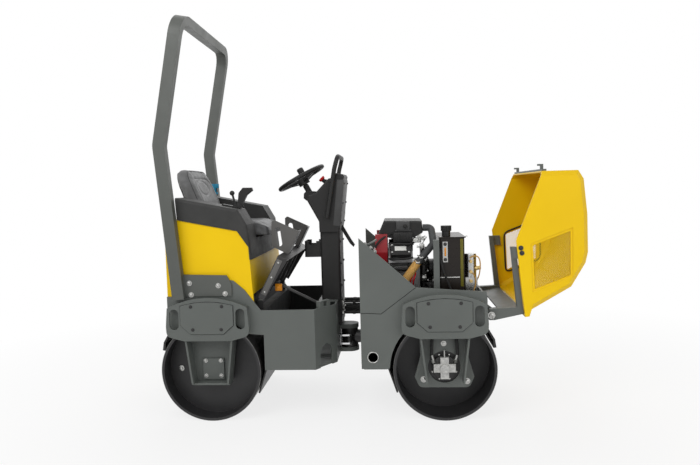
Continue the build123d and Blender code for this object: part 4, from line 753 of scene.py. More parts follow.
# %% Seams and piping
SEAM_WIDTH = 0.005
OFF_SEAM = 1.0
PIPING_RADIUS = 0.0032


def sew(pad, line_distance, depth):
    """Pull points inwards where they lie close to a seam. line_distance gives a point's distance."""
    for vert in pad.data.vertices:
        reach = line_distance(vert) / SEAM_WIDTH
        if abs(reach) < 3:
            vert.co -= vert.normal * depth * math.exp(-reach * reach)


def piping(name, pad, guides):
    """A bead along guide points, laid on the pad's surface."""
    route = [pad.closest_point_on_mesh(Vector(guide))[1] for guide in guides]
    return hoses(name, [route], PIPING_RADIUS, "rear_frame", (piping_vinyl, "seat_vinyl"))


def upholster(pad, body, node, finish):
    pad.data.materials.clear()
    pad.data.materials.append(finish)
    pad.data.shade_smooth()
    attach(pad, body)
    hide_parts(node)
    print(pad.name, len(pad.data.polygons), "faces")


print("seams are", SEAM_WIDTH * 2000, "mm wide")

# %% [markdown]
# The cushion is a shallow dish: the middle is lower than the two side rolls, and the front edge falls
# away in a round roll under the knees. The dish is pressed in before the air, as the foam has it.

# %% Seat cushion
DISH_DEPTH, DISH_WIDTH = 0.016, 0.72
KNEE_DROP, KNEE_START = 0.030, 0.78
cushion_low, cushion_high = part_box("seat_cushion")
cushion_size = cushion_high - cushion_low
seat_half = cushion_high.y
roll_line = seat_half - 0.075
front_line = cushion_high.x - 0.085


def roll_seam(vert):
    """Distance from the seams of the side rolls."""
    return abs(vert.co.y) - roll_line if vert.normal.z > 0.4 else OFF_SEAM


def front_seam(vert):
    """Distance from the seam across the front, between the rolls."""
    on_top = vert.normal.z > 0.3 and abs(vert.co.y) < roll_line
    return vert.co.x - front_line if on_top else OFF_SEAM


cushion = pad_from("seat_cushion", "seat_cushion_cover", 0.007)
for vert in cushion.data.vertices:
    along = (vert.co.x - cushion_low.x) / cushion_size.x
    height = max(0.0, (vert.co.z - cushion_low.z) / cushion_size.z)
    dish = max(0.0, 1 - (vert.co.y / seat_half / DISH_WIDTH) ** 2)
    dish *= math.sin(math.pi * min(1.0, along * 1.05))
    knee = max(0.0, (along - KNEE_START) / (1 - KNEE_START)) ** 2
    vert.co.z -= height * (DISH_DEPTH * dish + KNEE_DROP * knee)
blow_up(cushion, cushion_low.z)
sew(cushion, roll_seam, 0.006)
sew(cushion, front_seam, 0.005)
upholster(cushion, "rear_frame", "seat_cushion", cushion_shaded_vinyl)

# %% [markdown]
# The backrest is an arch. Its cover has a sewn inner panel that follows the arch's outline, a lens
# at the height of the shoulder blades, and piped seams round the sides. Distances from the arch's
# outline come from one small function, so that the panel's seam keeps an even border. The cover's
# corners are fuller than the foam's, and it is stretched upwards along its lean, because the CAD block
# is lower than the seat in the photo.

# %% Backrest
ARCH_CORNER, SEWN_CORNER = 0.115, 0.092
PANEL_BORDER = 0.062
LENS_HEIGHT, LENS_HALF = 1.285, (0.092, 0.040)
COVER_STRETCH = Vector((-0.010, 0, 0.027))
HOLLOW_DEPTH, HOLLOW_HALF = 0.012, 0.15
back_low, back_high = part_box("seat_back")
corner_step = ARCH_CORNER - SEWN_CORNER


def past_corner(y, z):
    """How far a point lies beside and over the centre of the arch's corner."""
    return abs(y) - (back_high.y - ARCH_CORNER), z - (back_high.z - ARCH_CORNER)


def panel_seam(vert):
    """Distance from the panel's seam, which keeps a border inside the arch's outline."""
    beside, over = past_corner(vert.co.y, vert.co.z)
    inside = min(back_high.y - abs(vert.co.y), back_high.z - vert.co.z)
    if beside > 0 and over > 0:
        inside = ARCH_CORNER - math.hypot(beside, over)
    return inside - PANEL_BORDER if vert.normal.x > 0.2 else OFF_SEAM


def lens_seam(vert):
    """Roughly how far a point lies from the lens seam."""
    reach = math.hypot(vert.co.y / LENS_HALF[0], (vert.co.z - LENS_HEIGHT) / LENS_HALF[1])
    return (reach - 1) * LENS_HALF[1] if vert.normal.x > 0.2 else OFF_SEAM


def fuller_corner(vert):
    """Push the cover's corner out to a tighter arc than the foam has."""
    beside, over = past_corner(vert.co.y, vert.co.z)
    if beside <= 0 or over <= 0:
        return
    reach = math.hypot(beside, over)
    lean = corner_step * (beside + over) / reach
    arc = lean + math.sqrt(lean ** 2 - 2 * corner_step ** 2 + SEWN_CORNER ** 2)
    flat = ARCH_CORNER * reach / max(beside, over)
    factor = min(arc, flat) / ARCH_CORNER
    vert.co.y += math.copysign(beside * (factor - 1), vert.co.y)
    vert.co.z += over * (factor - 1)


def up_share(z):
    """A height as a share of the backrest's own."""
    return (z - back_low.z) / (back_high.z - back_low.z)


def raised(spot):
    """Stretch a point upwards with the cover."""
    return spot + COVER_STRETCH * max(0.0, up_share(spot.z))


backrest = pad_from("seat_back", "seat_back_cover", 0.004)
for vert in backrest.data.vertices:
    fuller_corner(vert)
    if vert.normal.x > 0.2:
        vert.co.x -= HOLLOW_DEPTH * (1 - min(1.0, abs(vert.co.y) / HOLLOW_HALF) ** 2)
blow_up(backrest, back_low.z)
sew(backrest, panel_seam, 0.005)
sew(backrest, lens_seam, 0.0035)
for vert in backrest.data.vertices:
    vert.co = raised(vert.co)
upholster(backrest, "rear_frame", "seat_back", seat_vinyl)

# %% Piping on the seat
BACK_LEAN = 0.115
CORNER_STEPS = 7
PIPING_INSET = seat_half * 0.06
piping_side = -seat_half * 0.94
piping_arc = SEWN_CORNER - PIPING_INSET
back_line = [(piping_side, back_low.z + 0.03), (piping_side, back_low.z + 0.1)]
back_line.append((piping_side, back_high.z - SEWN_CORNER))
for step in range(1, CORNER_STEPS):
    angle = math.radians(180 - 90 * step / CORNER_STEPS)
    back_line.append((
        -seat_half + SEWN_CORNER + piping_arc * math.cos(angle),
        back_high.z - SEWN_CORNER + piping_arc * math.sin(angle)))
back_line.append((-0.06, back_high.z - PIPING_INSET))
back_line += [(-y, z) for y, z in reversed(back_line)]
for name, depth in (("back_front_piping", 0.0), ("back_rear_piping", 0.105)):
    piping(name, backrest, [
        raised(Vector((back_high.x - up_share(z) * BACK_LEAN - depth, y, z))) for y, z in back_line])
cushion_rim = [
    (cushion_low.x + 0.06, -seat_half + 0.004), (cushion_high.x - 0.05, -seat_half + 0.004),
    (cushion_high.x - 0.012, -seat_half + 0.02), (cushion_high.x - 0.002, -seat_half + 0.06),
    (cushion_high.x, -0.08)]
cushion_rim += [(x, -y) for x, y in reversed(cushion_rim)]
piping("cushion_piping", cushion, [(x, y, cushion_low.z + 0.036) for x, y in cushion_rim])

# %% [markdown]
# ## Bolts on the frame
#
# Large plates on the machine are bolted on: the hoop's feet, the axle plates and the drum motors with
# plated bolts, and the arch covers with black ones. All bolts of one kind on one body make one piece,
# which keeps the list of pieces short and lets one finish serve them all.

# %% Bolts on the plates
HOOP_FOOT_BOLTS = ((-0.990, 0.776), (-0.829, 0.760), (-0.982, 0.712), (-0.792, 0.715))
FOOT_FACE = 0.448
HUB_BOLTS = ((-0.043, 0.048), (-0.043, -0.038), (0.043, 0.048), (0.043, -0.038))
COVER_BOLTS = ((-0.086, 0.372), (0.086, 0.372), (-0.079, 0.245), (0.079, 0.245))
ENDS = (("rear", rear_axle, "rear_frame"), ("front", front_axle, "front_frame"))
hub_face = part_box("rear_axle_stubs")[1].y
cover_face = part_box("rear_arch_covers")[1].y

build(
    "rear_plated_bolts", "rear_frame", PLATED,
    (side_bolts, HOOP_FOOT_BOLTS, FOOT_FACE, 0.0095),
    (side_bolts, around(rear_axle, HUB_BOLTS), hub_face, 0.0075))
for name, axle, body in ENDS:
    build(name + "_cover_bolts", body, BLACK, (side_bolts, around(axle, COVER_BOLTS), cover_face, 0.0062))

# %% [markdown]
# The front drum has an oil motor on each end. Its flange is black and its cross-shaped casting is
# bright, with a ring of bolts and two oil fittings. The flange's bolts and the fittings are turned
# shapes, and the hoses come down to them from behind the arch.

# %% Drum motor fittings
MOTOR_BOLTS = ((-0.114, -0.069), (0.123, -0.080))
STEM_BOLTS = ((-0.002, 0.131),)
MOTOR_RING = 0.072
RING_ANGLES = [math.radians(22.5 + 45 * number) for number in range(8)]
RING_BOLTS = [(MOTOR_RING * math.cos(angle), MOTOR_RING * math.sin(angle)) for angle in RING_ANGLES]
PLATE_FACE, RING_FACE, STEM_FACE = 0.384, 0.380, 0.402

fittings, routes = [], []
for side in SIDES:
    for across in SIDES:
        spot = Vector((front_axle.x + across * 0.058, side * FLANGE_FACE, front_axle.z + 0.030))
        lift = Vector((across * 0.012, side * 0.012, 0.045))
        fittings.append((rod, spot, spot + lift * 0.4, 0.013, 6))
        fittings.append((rod, spot + lift * 0.4, spot + lift, 0.010, 16))
        foot = Vector((front_axle.x + across * 0.070, side * 0.408, front_axle.z + 0.075))
        top = Vector((front_axle.x + across * 0.052, side * 0.400, front_axle.z + 0.300))
        bulge = Vector((across * 0.004, side * 0.008, 0))
        routes.append([foot, foot.lerp(top, 0.3) + bulge, foot.lerp(top, 0.7), top])
    stem = Vector((front_axle.x, side * STEM_FACE, front_axle.z))
    fittings.append((rod, stem + Vector((0, 0, 0.04)), stem + Vector((0, 0, 0.098)), 0.0055, 14))
build(
    "drum_motor_bolts", "front_frame", PLATED,
    (side_bolts, around(front_axle, MOTOR_BOLTS), PLATE_FACE, 0.0115),
    (side_bolts, around(front_axle, RING_BOLTS), RING_FACE, 0.006, False),
    (side_bolts, around(front_axle, STEM_BOLTS), PLATE_FACE, 0.010), *fittings)
hoses("drum_motor_hoses", routes, 0.0085, "front_frame", RUBBER)

# %% [markdown]
# Each end of the rear drum has a screwed plug, where water or oil is filled in. The front frame has a
# tie-down hole with a pressed steel ring in each side wall.

# %% Drum plugs and tie-down rings
PLUG_X, PLUG_Z = -1.091, 0.272
PLUG_FACE, PLUG_TOP = 0.345, 0.351
build(
    "rear_drum_plugs", "rear_drum", PLATED,
    *((rod, (PLUG_X, side * PLUG_FACE, PLUG_Z), (PLUG_X, side * PLUG_TOP, PLUG_Z), 0.017, 32, 0.002)
      for side in SIDES),
    (side_bolts, ((PLUG_X, PLUG_Z),), PLUG_TOP, 0.0105, False))
build(
    "tie_down_rings", "front_frame", PLATED,
    *((ring, (0.011, side * 0.4385, 0.350), (0, 1, 0), 0.029, 0.0035, 40) for side in SIDES))

# %% [markdown]
# ## Hood mesh and trim
#
# Each side of the hood breathes through a sunk panel of punched sheet with holes of about six
# millimetres. Drilling every hole would be slow, so the sheet starts as a grid turned by 45 degrees:
# every cell is inset, the middle is deleted, and what is left is cut to the panel's outline and given
# a thickness.

# %% Punched sheet
MESH_PITCH = 0.0092
MESH_WEB = 0.0017
MESH_THICK = 0.0016
GRID_MARGIN = 1.42
GRILLE_OUTLINE = ((0.871, 0.949), (1.079, 1.026), (1.079, 0.780), (0.880, 0.702))
grille_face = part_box("hood_grilles")[1].y


def punched_sheet(shape, outline, y):
    """A sheet of square holes standing in the plane of one Y, cut to an outline."""
    corners = [Vector((x, y, z)) for x, z in outline]
    centre = sum(corners, Vector()) / len(corners)
    reach = max((corner - centre).length for corner in corners) * GRID_MARGIN
    cells = round(2 * reach / MESH_PITCH)
    turn = Matrix.Rotation(math.radians(45), 4, "Y") @ Matrix.Rotation(math.radians(90), 4, "X")
    sheet = bmesh.new()
    bmesh.ops.create_grid(
        sheet, x_segments=cells, y_segments=cells, size=reach, matrix=Matrix.Translation(centre) @ turn)
    borders = []
    for corner, following in zip(corners, corners[1:] + corners[:1]):
        edge = following - corner
        away = Vector((-edge.z, 0, edge.x))
        borders.append((corner, away if away.dot(corner - centre) > 0 else -away))
    for corner, away in borders:
        out = away.normalized()
        far = [face for face in sheet.faces if (face.calc_center_median() - corner).dot(out) > MESH_PITCH]
        bmesh.ops.delete(sheet, geom=far, context="FACES")
    cells_left = sheet.faces[:]
    bmesh.ops.inset_individual(sheet, faces=cells_left, thickness=MESH_WEB)
    bmesh.ops.delete(sheet, geom=cells_left, context="FACES")
    for corner, away in borders:
        bmesh.ops.bisect_plane(
            sheet, geom=sheet.verts[:] + sheet.edges[:] + sheet.faces[:], plane_co=corner, plane_no=away,
            clear_outer=True)
    bmesh.ops.recalc_face_normals(sheet, faces=sheet.faces[:])
    bmesh.ops.solidify(sheet, geom=sheet.faces[:], thickness=MESH_THICK)
    bridge = as_mesh("sheet_part", sheet)
    shape.from_mesh(bridge)
    bpy.data.meshes.remove(bridge)


hood_mesh = build(
    "hood_mesh_panels", "hood", (yellow_skin, "body_yellow"),
    *((punched_sheet, GRILLE_OUTLINE, side * (grille_face - 0.0015)) for side in SIDES), smooth_below=30)
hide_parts("hood_grilles")

# %% [markdown]
# Inside, a black rubber edging runs round each mesh panel. It is a cord-like trim pressed onto the
# sheet's edge, so it is a closed round line with rounded corners.

# %% Rubber edging round the mesh
TRIM_CORNERS = ((0.864, 0.955), (1.100, 1.043), (1.100, 0.776), (0.874, 0.690))
TRIM_RADIUS, TRIM_TURN = 0.0048, 0.035
trim_y = grille_face - 0.007


def rounded_loop(corners, cut, steps=5):
    """A closed loop of points whose corners are rounded by an arc-like curve."""
    loop = []
    for number, corner in enumerate(corners):
        corner = Vector(corner)
        before = (Vector(corners[number - 1]) - corner).normalized() * cut
        after = (Vector(corners[(number + 1) % len(corners)]) - corner).normalized() * cut
        for step in range(steps + 1):
            share = step / steps
            loop.append(corner + before * (1 - share) ** 2 + after * share ** 2)
    return loop


trim_loops = [
    rounded_loop([(x, side * trim_y, z) for x, z in TRIM_CORNERS], TRIM_TURN) for side in SIDES]
settle(
    "hood_mesh_trim", tubes("hood_trim", trim_loops, TRIM_RADIUS, True), "hood", RUBBER, SHARP_ABOVE_ROUND)

# %% [markdown]
# The hood's posts are bolted through its sides with black bolts, and the hinge pins end in plated
# washers and cotter rings.

# %% Hood bolts and hinge pins
HOOD_BOLTS = ((0.813, 0.932), (0.818, 0.905))
HINGE_X, HINGE_Z, PIN_END = 0.655, 0.570, 0.413
hood_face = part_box("hood_shell")[1].y
build("hood_side_bolts", "hood", BLACK, (side_bolts, HOOD_BOLTS, hood_face, 0.0085))

shape = bmesh.new()
for side in SIDES:
    spot = Vector((HINGE_X, side * PIN_END, HINGE_Z))
    rod(shape, spot, spot + Vector((0, side * 0.004, 0)), 0.020, 28)
    rod(shape, spot, spot + Vector((0, side * 0.014, 0)), 0.0115, 20, 0.002)
    ring(shape, spot + Vector((0.004, side * 0.010, -0.010)), (1, 0, 0.3), 0.013, 0.0018, 20)
settle("hood_hinge_pins", shape, "front_frame", PLATED)

# %% [markdown]
# Bolted covers and side panels show a dark line round their edge, where the paint stops and dirt
# collects. A thin black bead lies in that joint.

# %% Dark seams
COVER_THICK = 0.006
COVER_HALF = ((0.0915, 0.4985), (0.1475, 0.5475), (0.1475, 0.6555), (0.075, 0.6715), (0, 0.6765))
COVER_LOOP = [*COVER_HALF, *((-x, z) for x, z in reversed(COVER_HALF[:-1])), COVER_HALF[0]]
PANEL_LINE = ((-0.052, 0.5933), (-0.005, 0.5933), (0.060, 0.5893), (0.250, 0.7310))
SEAM_BEAD = 0.0017
SEAM_LOOK = (soft_rubber, "black_steel")


def bead(shape, line, y):
    """A thin bead along a line of X and Z."""
    for start, end in zip(line, line[1:]):
        rod(shape, (start[0], y, start[1]), (end[0], y, end[1]), SEAM_BEAD, 8)


low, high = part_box("front_side_panels")
build("panel_seams", "front_frame", SEAM_LOOK, (bead, PANEL_LINE, low.y), (bead, PANEL_LINE, high.y))
for name, axle, body in ENDS:
    low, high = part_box(name + "_arch_covers")
    line = [(axle.x + x, z) for x, z in COVER_LOOP]
    build(
        name + "_cover_seams", body, SEAM_LOOK,
        (bead, line, low.y + COVER_THICK), (bead, line, high.y - COVER_THICK))

# %% [markdown]
# ## The open engine
#
# With the hood tilted away, the engine is the busiest place on the machine. Its large forms are CAD
# pieces. What makes it read as an engine is the small stuff on them: a latch box and an intake grille
# on the air cleaner, a blank plate on the rocker cover, clamps, leads and linkage. Each group of one
# finish is one piece.

# %% Air cleaner fittings
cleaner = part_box("air_cleaner")[0].y
# The latch box's lighter grey is a painted highlight.
build(
    "cleaner_latch_box", "front_frame", (console_highlight_grey, "dark_plastic"),
    (slab, (0.152, cleaner - 0.012, 1.026), (0.231, cleaner + 0.001, 1.076), 0.004),
    (slab, (0.146, cleaner - 0.006, 1.019), (0.238, cleaner + 0.001, 1.028), 0.002))
build(
    "cleaner_intake", "front_frame", (tower_black, "dark_plastic"),
    (slab, (0.134, cleaner - 0.020, 0.957), (0.247, cleaner + 0.002, 1.014), 0.005),
    *((slab, (x, cleaner - 0.0235, 0.966), (x + 0.009, cleaner - 0.018, 1.005), 0.0015)
      for x in (0.146 + number * 0.0165 for number in range(6))),
    (rod, (0.205, cleaner - 0.012, 1.048), (0.205, cleaner - 0.027, 1.048), 0.013, 18, 0.002, 0.011),
    (slab, (0.120, cleaner - 0.008, 0.938), (0.252, cleaner + 0.002, 0.952), 0.002))

# %% [markdown]
# The rocker cover leans outwards with its cylinder, so its plate and screws are placed on a tilted
# frame of their own: X runs along the engine, and Z points out of the cover.

# %% Rocker cover plates and screws
COVER_TILT = math.radians(50)
SCREW_X, SCREW_Y = 0.048, 0.025


def cover_frame(side):
    """The tilted frame on the outer face of one rocker cover."""
    out = Vector((0, side * math.sin(COVER_TILT), math.cos(COVER_TILT)))
    along = Vector((1, 0, 0))
    turn = Matrix((along, out.cross(along), out)).transposed().to_4x4()
    return Matrix.Translation((0.175, side * 0.2056, 0.922)) @ turn


covers = [cover_frame(side) for side in SIDES]
build(
    "rocker_plates", "front_frame", (blank_plate, "bare_steel"),
    *((block, place, (0.066, 0.030, 0.003), 0.001) for place in covers))
build(
    "rocker_screws", "front_frame", PLATED,
    *((bolt, place @ Vector((x * SCREW_X, y * SCREW_Y, -0.002)), place.to_3x3().col[2], 0.0055)
      for place in covers for x in SIDES for y in SIDES))

# %% [markdown]
# A tan heat sleeve goes over the lower end of the air hose. It is a ribbed fabric tube, made as a rod
# with a row of rings. The clamp above it is a plated band with a screw.

# %% Heat sleeve and hose clamps
RIBS = 17
sleeve_top, sleeve_foot = Vector((0.271, -0.262, 0.848)), Vector((0.200, -0.266, 0.753))
sleeve_way = (sleeve_foot - sleeve_top).normalized()
clamps = (sleeve_top + sleeve_way * 0.004, sleeve_top - sleeve_way * 0.030)
build(
    "heat_sleeve", "front_frame", (tan_sleeve, "hose_rubber"),
    (rod, sleeve_top, sleeve_foot, 0.0222, 28),
    *((ring, sleeve_top.lerp(sleeve_foot, (number + 0.5) / RIBS), sleeve_way, 0.0215, 0.0028, 28)
      for number in range(RIBS)), smooth_below=SHARP_ABOVE_ROUND)
build(
    "hose_clamps", "front_frame", PLATED,
    *((ring, spot, sleeve_way, 0.0245, 0.0028, 32) for spot in clamps),
    *((rod, spot + Vector((-0.008, -0.026, 0)), spot + Vector((0.012, -0.026, 0.006)), 0.0042, 12)
      for spot in clamps))

# %% [markdown]
# The bell housing sits on the engine's front end, and the hydraulic pump hangs on that with a port
# block under it. Both are black castings, seen in the gap before the oil tank.

# %% Bell housing and pump
HOUSING_BOLTS = ((-0.130, 0.665), (-0.130, 0.895), (-0.135, 0.780), (0.130, 0.665), (0.130, 0.895))
build(
    "bell_housing", "front_frame", BLACK,
    (slab, (0.297, -0.150, 0.640), (0.322, 0.150, 0.915), 0.010),
    (rod, (0.320, -0.060, 0.790), (0.340, -0.060, 0.790), 0.075, 32, 0.003, 0.066),
    (rod, (0.338, -0.060, 0.790), (0.382, -0.060, 0.790), 0.054, 32, 0.006),
    (slab, (0.326, -0.140, 0.660), (0.376, -0.030, 0.715), 0.006),
    *((slab, (0.318, -0.1535, z), (0.328, 0.1535, z + 0.010), 0.002)
      for z in (0.680 + number * 0.046 for number in range(5))))
build(
    "pump_bolts", "front_frame", PLATED,
    *((bolt, (0.328, y, z), (1, 0, 0), 0.007) for y, z in HOUSING_BOLTS),
    *((rod, (0.350, y, 0.712), (0.350, y, 0.738), 0.011, 6) for y in (-0.118, -0.085, -0.052)))

# %% [markdown]
# Leads and thin hoses lie along the engine and are clipped at both ends, so they are plumbing and not
# free cords. Each follows a smooth line through a few points on the parts that carry it.

# %% Leads and thin hoses
hoses("engine_leads", [
    [(0.030, -0.208, 0.930), (0.045, -0.216, 0.960), (0.085, -0.196, 0.990), (0.122, -0.172, 1.005)],
    [(0.100, -0.190, 0.860), (0.135, -0.232, 0.870), (0.190, -0.238, 0.860), (0.245, -0.232, 0.872)],
    [(0.120, -0.172, 0.946), (0.170, -0.205, 0.950), (0.235, -0.200, 0.942), (0.270, -0.165, 0.962)],
    [(0.060, -0.208, 0.800), (0.120, -0.240, 0.812), (0.180, -0.240, 0.806), (0.242, -0.224, 0.800)],
    [(0.388, -0.322, 0.930), (0.392, -0.330, 0.850), (0.420, -0.334, 0.770), (0.448, -0.326, 0.700),
     (0.470, -0.310, 0.640)],
    [(0.402, -0.318, 0.860), (0.408, -0.326, 0.800), (0.436, -0.328, 0.730), (0.452, -0.309, 0.690)],
    [(0.300, -0.200, 0.690), (0.330, -0.250, 0.680), (0.352, -0.262, 0.640), (0.360, -0.260, 0.612)],
    [(0.296, -0.120, 0.720), (0.330, -0.180, 0.715), (0.350, -0.215, 0.680), (0.346, -0.230, 0.612)],
], 0.0062, "front_frame", RUBBER)
hoses("red_leads", [
    [(0.250, -0.232, 0.800), (0.248, -0.262, 0.790), (0.236, -0.272, 0.766), (0.224, -0.268, 0.738),
     (0.226, -0.217, 0.690)],
    [(0.256, -0.230, 0.796), (0.258, -0.260, 0.782), (0.247, -0.270, 0.756), (0.240, -0.262, 0.730),
     (0.244, -0.217, 0.690)],
], 0.0042, "front_frame", (signal_red, "fan_red"))

# %% [markdown]
# In front of the air cleaner sit the throttle linkage and a lifting eye, a cluster of bright rods,
# springs and levers. They are built from rods and rings at the places where the light catches them.

# %% Throttle linkage and lifting eye
build(
    "throttle_linkage", "front_frame", PLATED,
    (ring, (0.284, -0.158, 1.018), (0.15, 1, 0), 0.0165, 0.0050, 28),
    (slab, (0.272, -0.166, 0.950), (0.296, -0.158, 1.004), 0.002),
    (rod, (0.262, -0.150, 0.966), (0.262, -0.200, 0.966), 0.016, 24, 0.002, 0.014),
    (rod, (0.305, -0.150, 0.975), (0.305, -0.192, 0.975), 0.011, 20, 0.002),
    (rod, (0.262, -0.196, 0.966), (0.318, -0.190, 0.990), 0.0032, 12),
    (rod, (0.296, -0.186, 0.940), (0.326, -0.186, 0.986), 0.0032, 12),
    (slab, (0.286, -0.190, 0.905), (0.312, -0.150, 0.946), 0.004),
    *((ring, (0.270 + number * 0.0042, -0.196, 0.930 - number * 0.0012), (1, 0, -0.2), 0.0055, 0.0011, 12)
      for number in range(9)),
    (slab, (0.240, -0.232, 0.790), (0.262, -0.222, 0.868), 0.003),
    (rod, (0.251, -0.222, 0.812), (0.251, -0.244, 0.812), 0.0085, 6),
    (rod, (0.296, -0.150, 0.850), (0.330, -0.150, 0.850), 0.026, 28, 0.004),
    (rod, (0.296, -0.165, 0.745), (0.322, -0.165, 0.745), 0.020, 24, 0.003))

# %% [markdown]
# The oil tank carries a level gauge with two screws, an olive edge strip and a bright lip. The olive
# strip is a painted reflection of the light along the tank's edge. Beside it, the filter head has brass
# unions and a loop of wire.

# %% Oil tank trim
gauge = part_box("sight_gauge")[0].y
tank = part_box("sight_gauge")[1].y
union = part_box("oil_filter")[0].y
UNION_HEIGHTS = (0.740, 0.792, 0.850)
build(
    "gauge_screws", "front_frame", BLACK,
    *((rod, (0.421, gauge + 0.001, z), (0.421, gauge - 0.004, z), 0.0098, 24, 0.001)
      for z in (0.951, 0.865)))
build(
    "gauge_window", "front_frame", (amber, "dark_plastic"),
    (slab, (0.4165, gauge - 0.0015, 0.884), (0.4255, gauge + 0.001, 0.932), 0.001))
# Painted reflection: an olive strip where the tank's edge reflects the light.
build(
    "tank_edge_reflection_strip", "front_frame", (olive_reflection_strip, "dark_plastic"),
    (slab, (0.505, tank - 0.0035, 0.712), (0.521, tank + 0.001, 0.978), 0.001))
build(
    "tank_lip", "front_frame", PLATED,
    (slab, (0.392, tank - 0.004, 0.760), (0.500, tank + 0.001, 0.767), 0.001),
    *((bolt, (x, -0.296, 0.990), (0, 0, 1), 0.005) for x in (0.396, 0.540)))
build(
    "filter_unions", "front_frame", (brass, "bare_steel"),
    *((rod, (0.562, union + 0.02, z), (0.562, union - 0.012, z), 0.010, 6) for z in UNION_HEIGHTS),
    *((rod, (0.562, union - 0.012, z), (0.562, union - 0.026, z), 0.0065, 16) for z in UNION_HEIGHTS),
    (rod, (0.590, -0.252, 0.805), (0.622, -0.252, 0.812), 0.014, 20, 0.002, 0.010))
hoses("filter_wires", [
    [(0.560, -0.272, 0.868), (0.580, -0.288, 0.884), (0.612, -0.284, 0.872), (0.618, -0.280, 0.820),
     (0.606, -0.276, 0.748), (0.575, -0.262, 0.700)],
    [(0.562, -0.300, 0.792), (0.584, -0.304, 0.776), (0.592, -0.298, 0.720), (0.570, -0.280, 0.660)],
], 0.0034, "front_frame", (tan_sleeve, "hose_rubber"))

# %% [markdown]
# Behind the engine, a catch bracket stands on the front frame's panel, where the hood's hook closes.
# It is bent from plate, with three bolts beside it and a loom of wires.

# %% Catch bracket
CATCH_LEAN = Matrix.Rotation(math.radians(-28), 4, "Y")
CATCH_BOLTS = ((-0.020, 0.965), (0.008, 0.945), (0.030, 0.925))
build(
    "hood_catch", "front_frame", (slate_grey, "frame_grey"),
    (slab, (-0.012, -0.405, 0.972), (0.048, -0.360, 0.980), 0.002, CATCH_LEAN),
    (slab, (-0.004, -0.428, 0.930), (0.004, -0.360, 0.958), 0.002))
build(
    "catch_bolts", "front_frame", PLATED,
    *((rod, (x, -0.428, z), (x, -0.398, z), 0.006, 14) for x, z in CATCH_BOLTS),
    *((bolt, (x, -0.398, z), (0, 1, 0), 0.0085) for x, z in CATCH_BOLTS))
hoses("catch_wires", [
    [(-0.030, -0.427, 0.945), (-0.018, -0.396, 0.968), (0.012, -0.380, 0.950), (0.030, -0.350, 0.880),
     (0.040, -0.270, 0.780), (0.045, -0.204, 0.760)],
    [(-0.030, -0.427, 0.915), (-0.010, -0.388, 0.935), (0.022, -0.366, 0.905), (0.030, -0.330, 0.830),
     (0.040, -0.260, 0.740), (0.045, -0.204, 0.720)],
], 0.0055, "front_frame", RUBBER)

# %% [markdown]
# ## The driver's controls
#
# A moulded lid closes the front of the console, a little proud of it; its lighter grey is a painted
# highlight. It leans with the console, so it is one slab turned about its middle. The sloping face towards
# the driver holds a round hour meter, two switches, a key lock, three lamps and a red stop button.

# %% Console lid
LID_LEAN = math.radians(6.2)
lid_middle = Vector((-0.182, 0, 1.192))
lid_half = Vector((0.0235, 0.1512, 0.140))
lid_slope = math.tan(LID_LEAN)
build(
    "console_lid", "rear_frame", (console_highlight_grey, "dark_plastic"),
    (slab, lid_middle - lid_half, lid_middle + lid_half, 0.008, Matrix.Rotation(LID_LEAN, 4, "Y")))
build(
    "tower_screws", "rear_frame", BLACK,
    *((bolt, (lid_middle.x + lid_slope * (z - lid_middle.z) + lid_half.x, side * 0.118, z),
       (1, 0, -lid_slope), 0.0055) for side in SIDES for z in (1.075, 1.190, 1.305)),
    *((bolt, (-0.181, side * 0.095, z), (1, 0, 0), 0.0065)
      for side in SIDES for z in (0.700, 0.830, 0.960)))

# %% Instruments
PANEL_FOOT, PANEL_HEAD = Vector((-0.317, 0, 1.252)), Vector((-0.238, 0, 1.334))
METER, LOCK, STOP = (0.055, 0.055), (0.0, 0.030), (-0.050, 0.082)
SWITCHES = ((-0.012, 0.085), (0.012, 0.085))
LAMPS = ((0.020, 0.012), (0.042, 0.012), (0.064, 0.012))
panel_up = (PANEL_HEAD - PANEL_FOOT).normalized()
panel_out = Vector((-panel_up.z, 0, panel_up.x))


def on_panel(spot, out=0.0, higher=0.0):
    """A point over a spot on the console's sloping face: across, and along the slope from its foot."""
    across, up = spot
    return PANEL_FOOT + panel_up * (up + higher) + panel_out * out + Vector((0, across, 0))


build(
    "console_bezels", "rear_frame", PLATED,
    (ring, on_panel(METER, 0.003), panel_out, 0.030, 0.0035, 40),
    (ring, on_panel(LOCK, 0.002), panel_out, 0.010, 0.0025, 24))
build(
    "hour_meter_face", "rear_frame", (blank_plate, "dark_plastic"),
    (rod, on_panel(METER, -0.002), on_panel(METER, 0.0035), 0.029, 40))
build(
    "console_switches", "rear_frame", (soft_rubber, "dark_plastic"),
    *((rod, on_panel(spot, -0.002), on_panel(spot, 0.006), 0.0085, 20) for spot in SWITCHES),
    *((rod, on_panel(spot, 0.006), on_panel(spot, 0.020, 0.007), 0.0032, 12, 0.0, 0.0042)
      for spot in SWITCHES),
    (rod, on_panel(STOP, -0.002), on_panel(STOP, 0.026), 0.012, 24))
build(
    "stop_button", "rear_frame", (signal_red, "fan_red"),
    (rod, on_panel(STOP, 0.026), on_panel(STOP, 0.042), 0.017, 28, 0.004, 0.021))
build(
    "console_lamps", "rear_frame", (lamp_green, "dark_plastic"),
    *((rod, on_panel(spot, -0.001), on_panel(spot, 0.004), 0.005, 16) for spot in LAMPS))

# %% [markdown]
# Each of the two levers leaves its slot through a rubber boot, a stack of rings that get smaller
# towards the top. A small hub cap closes the steering wheel.

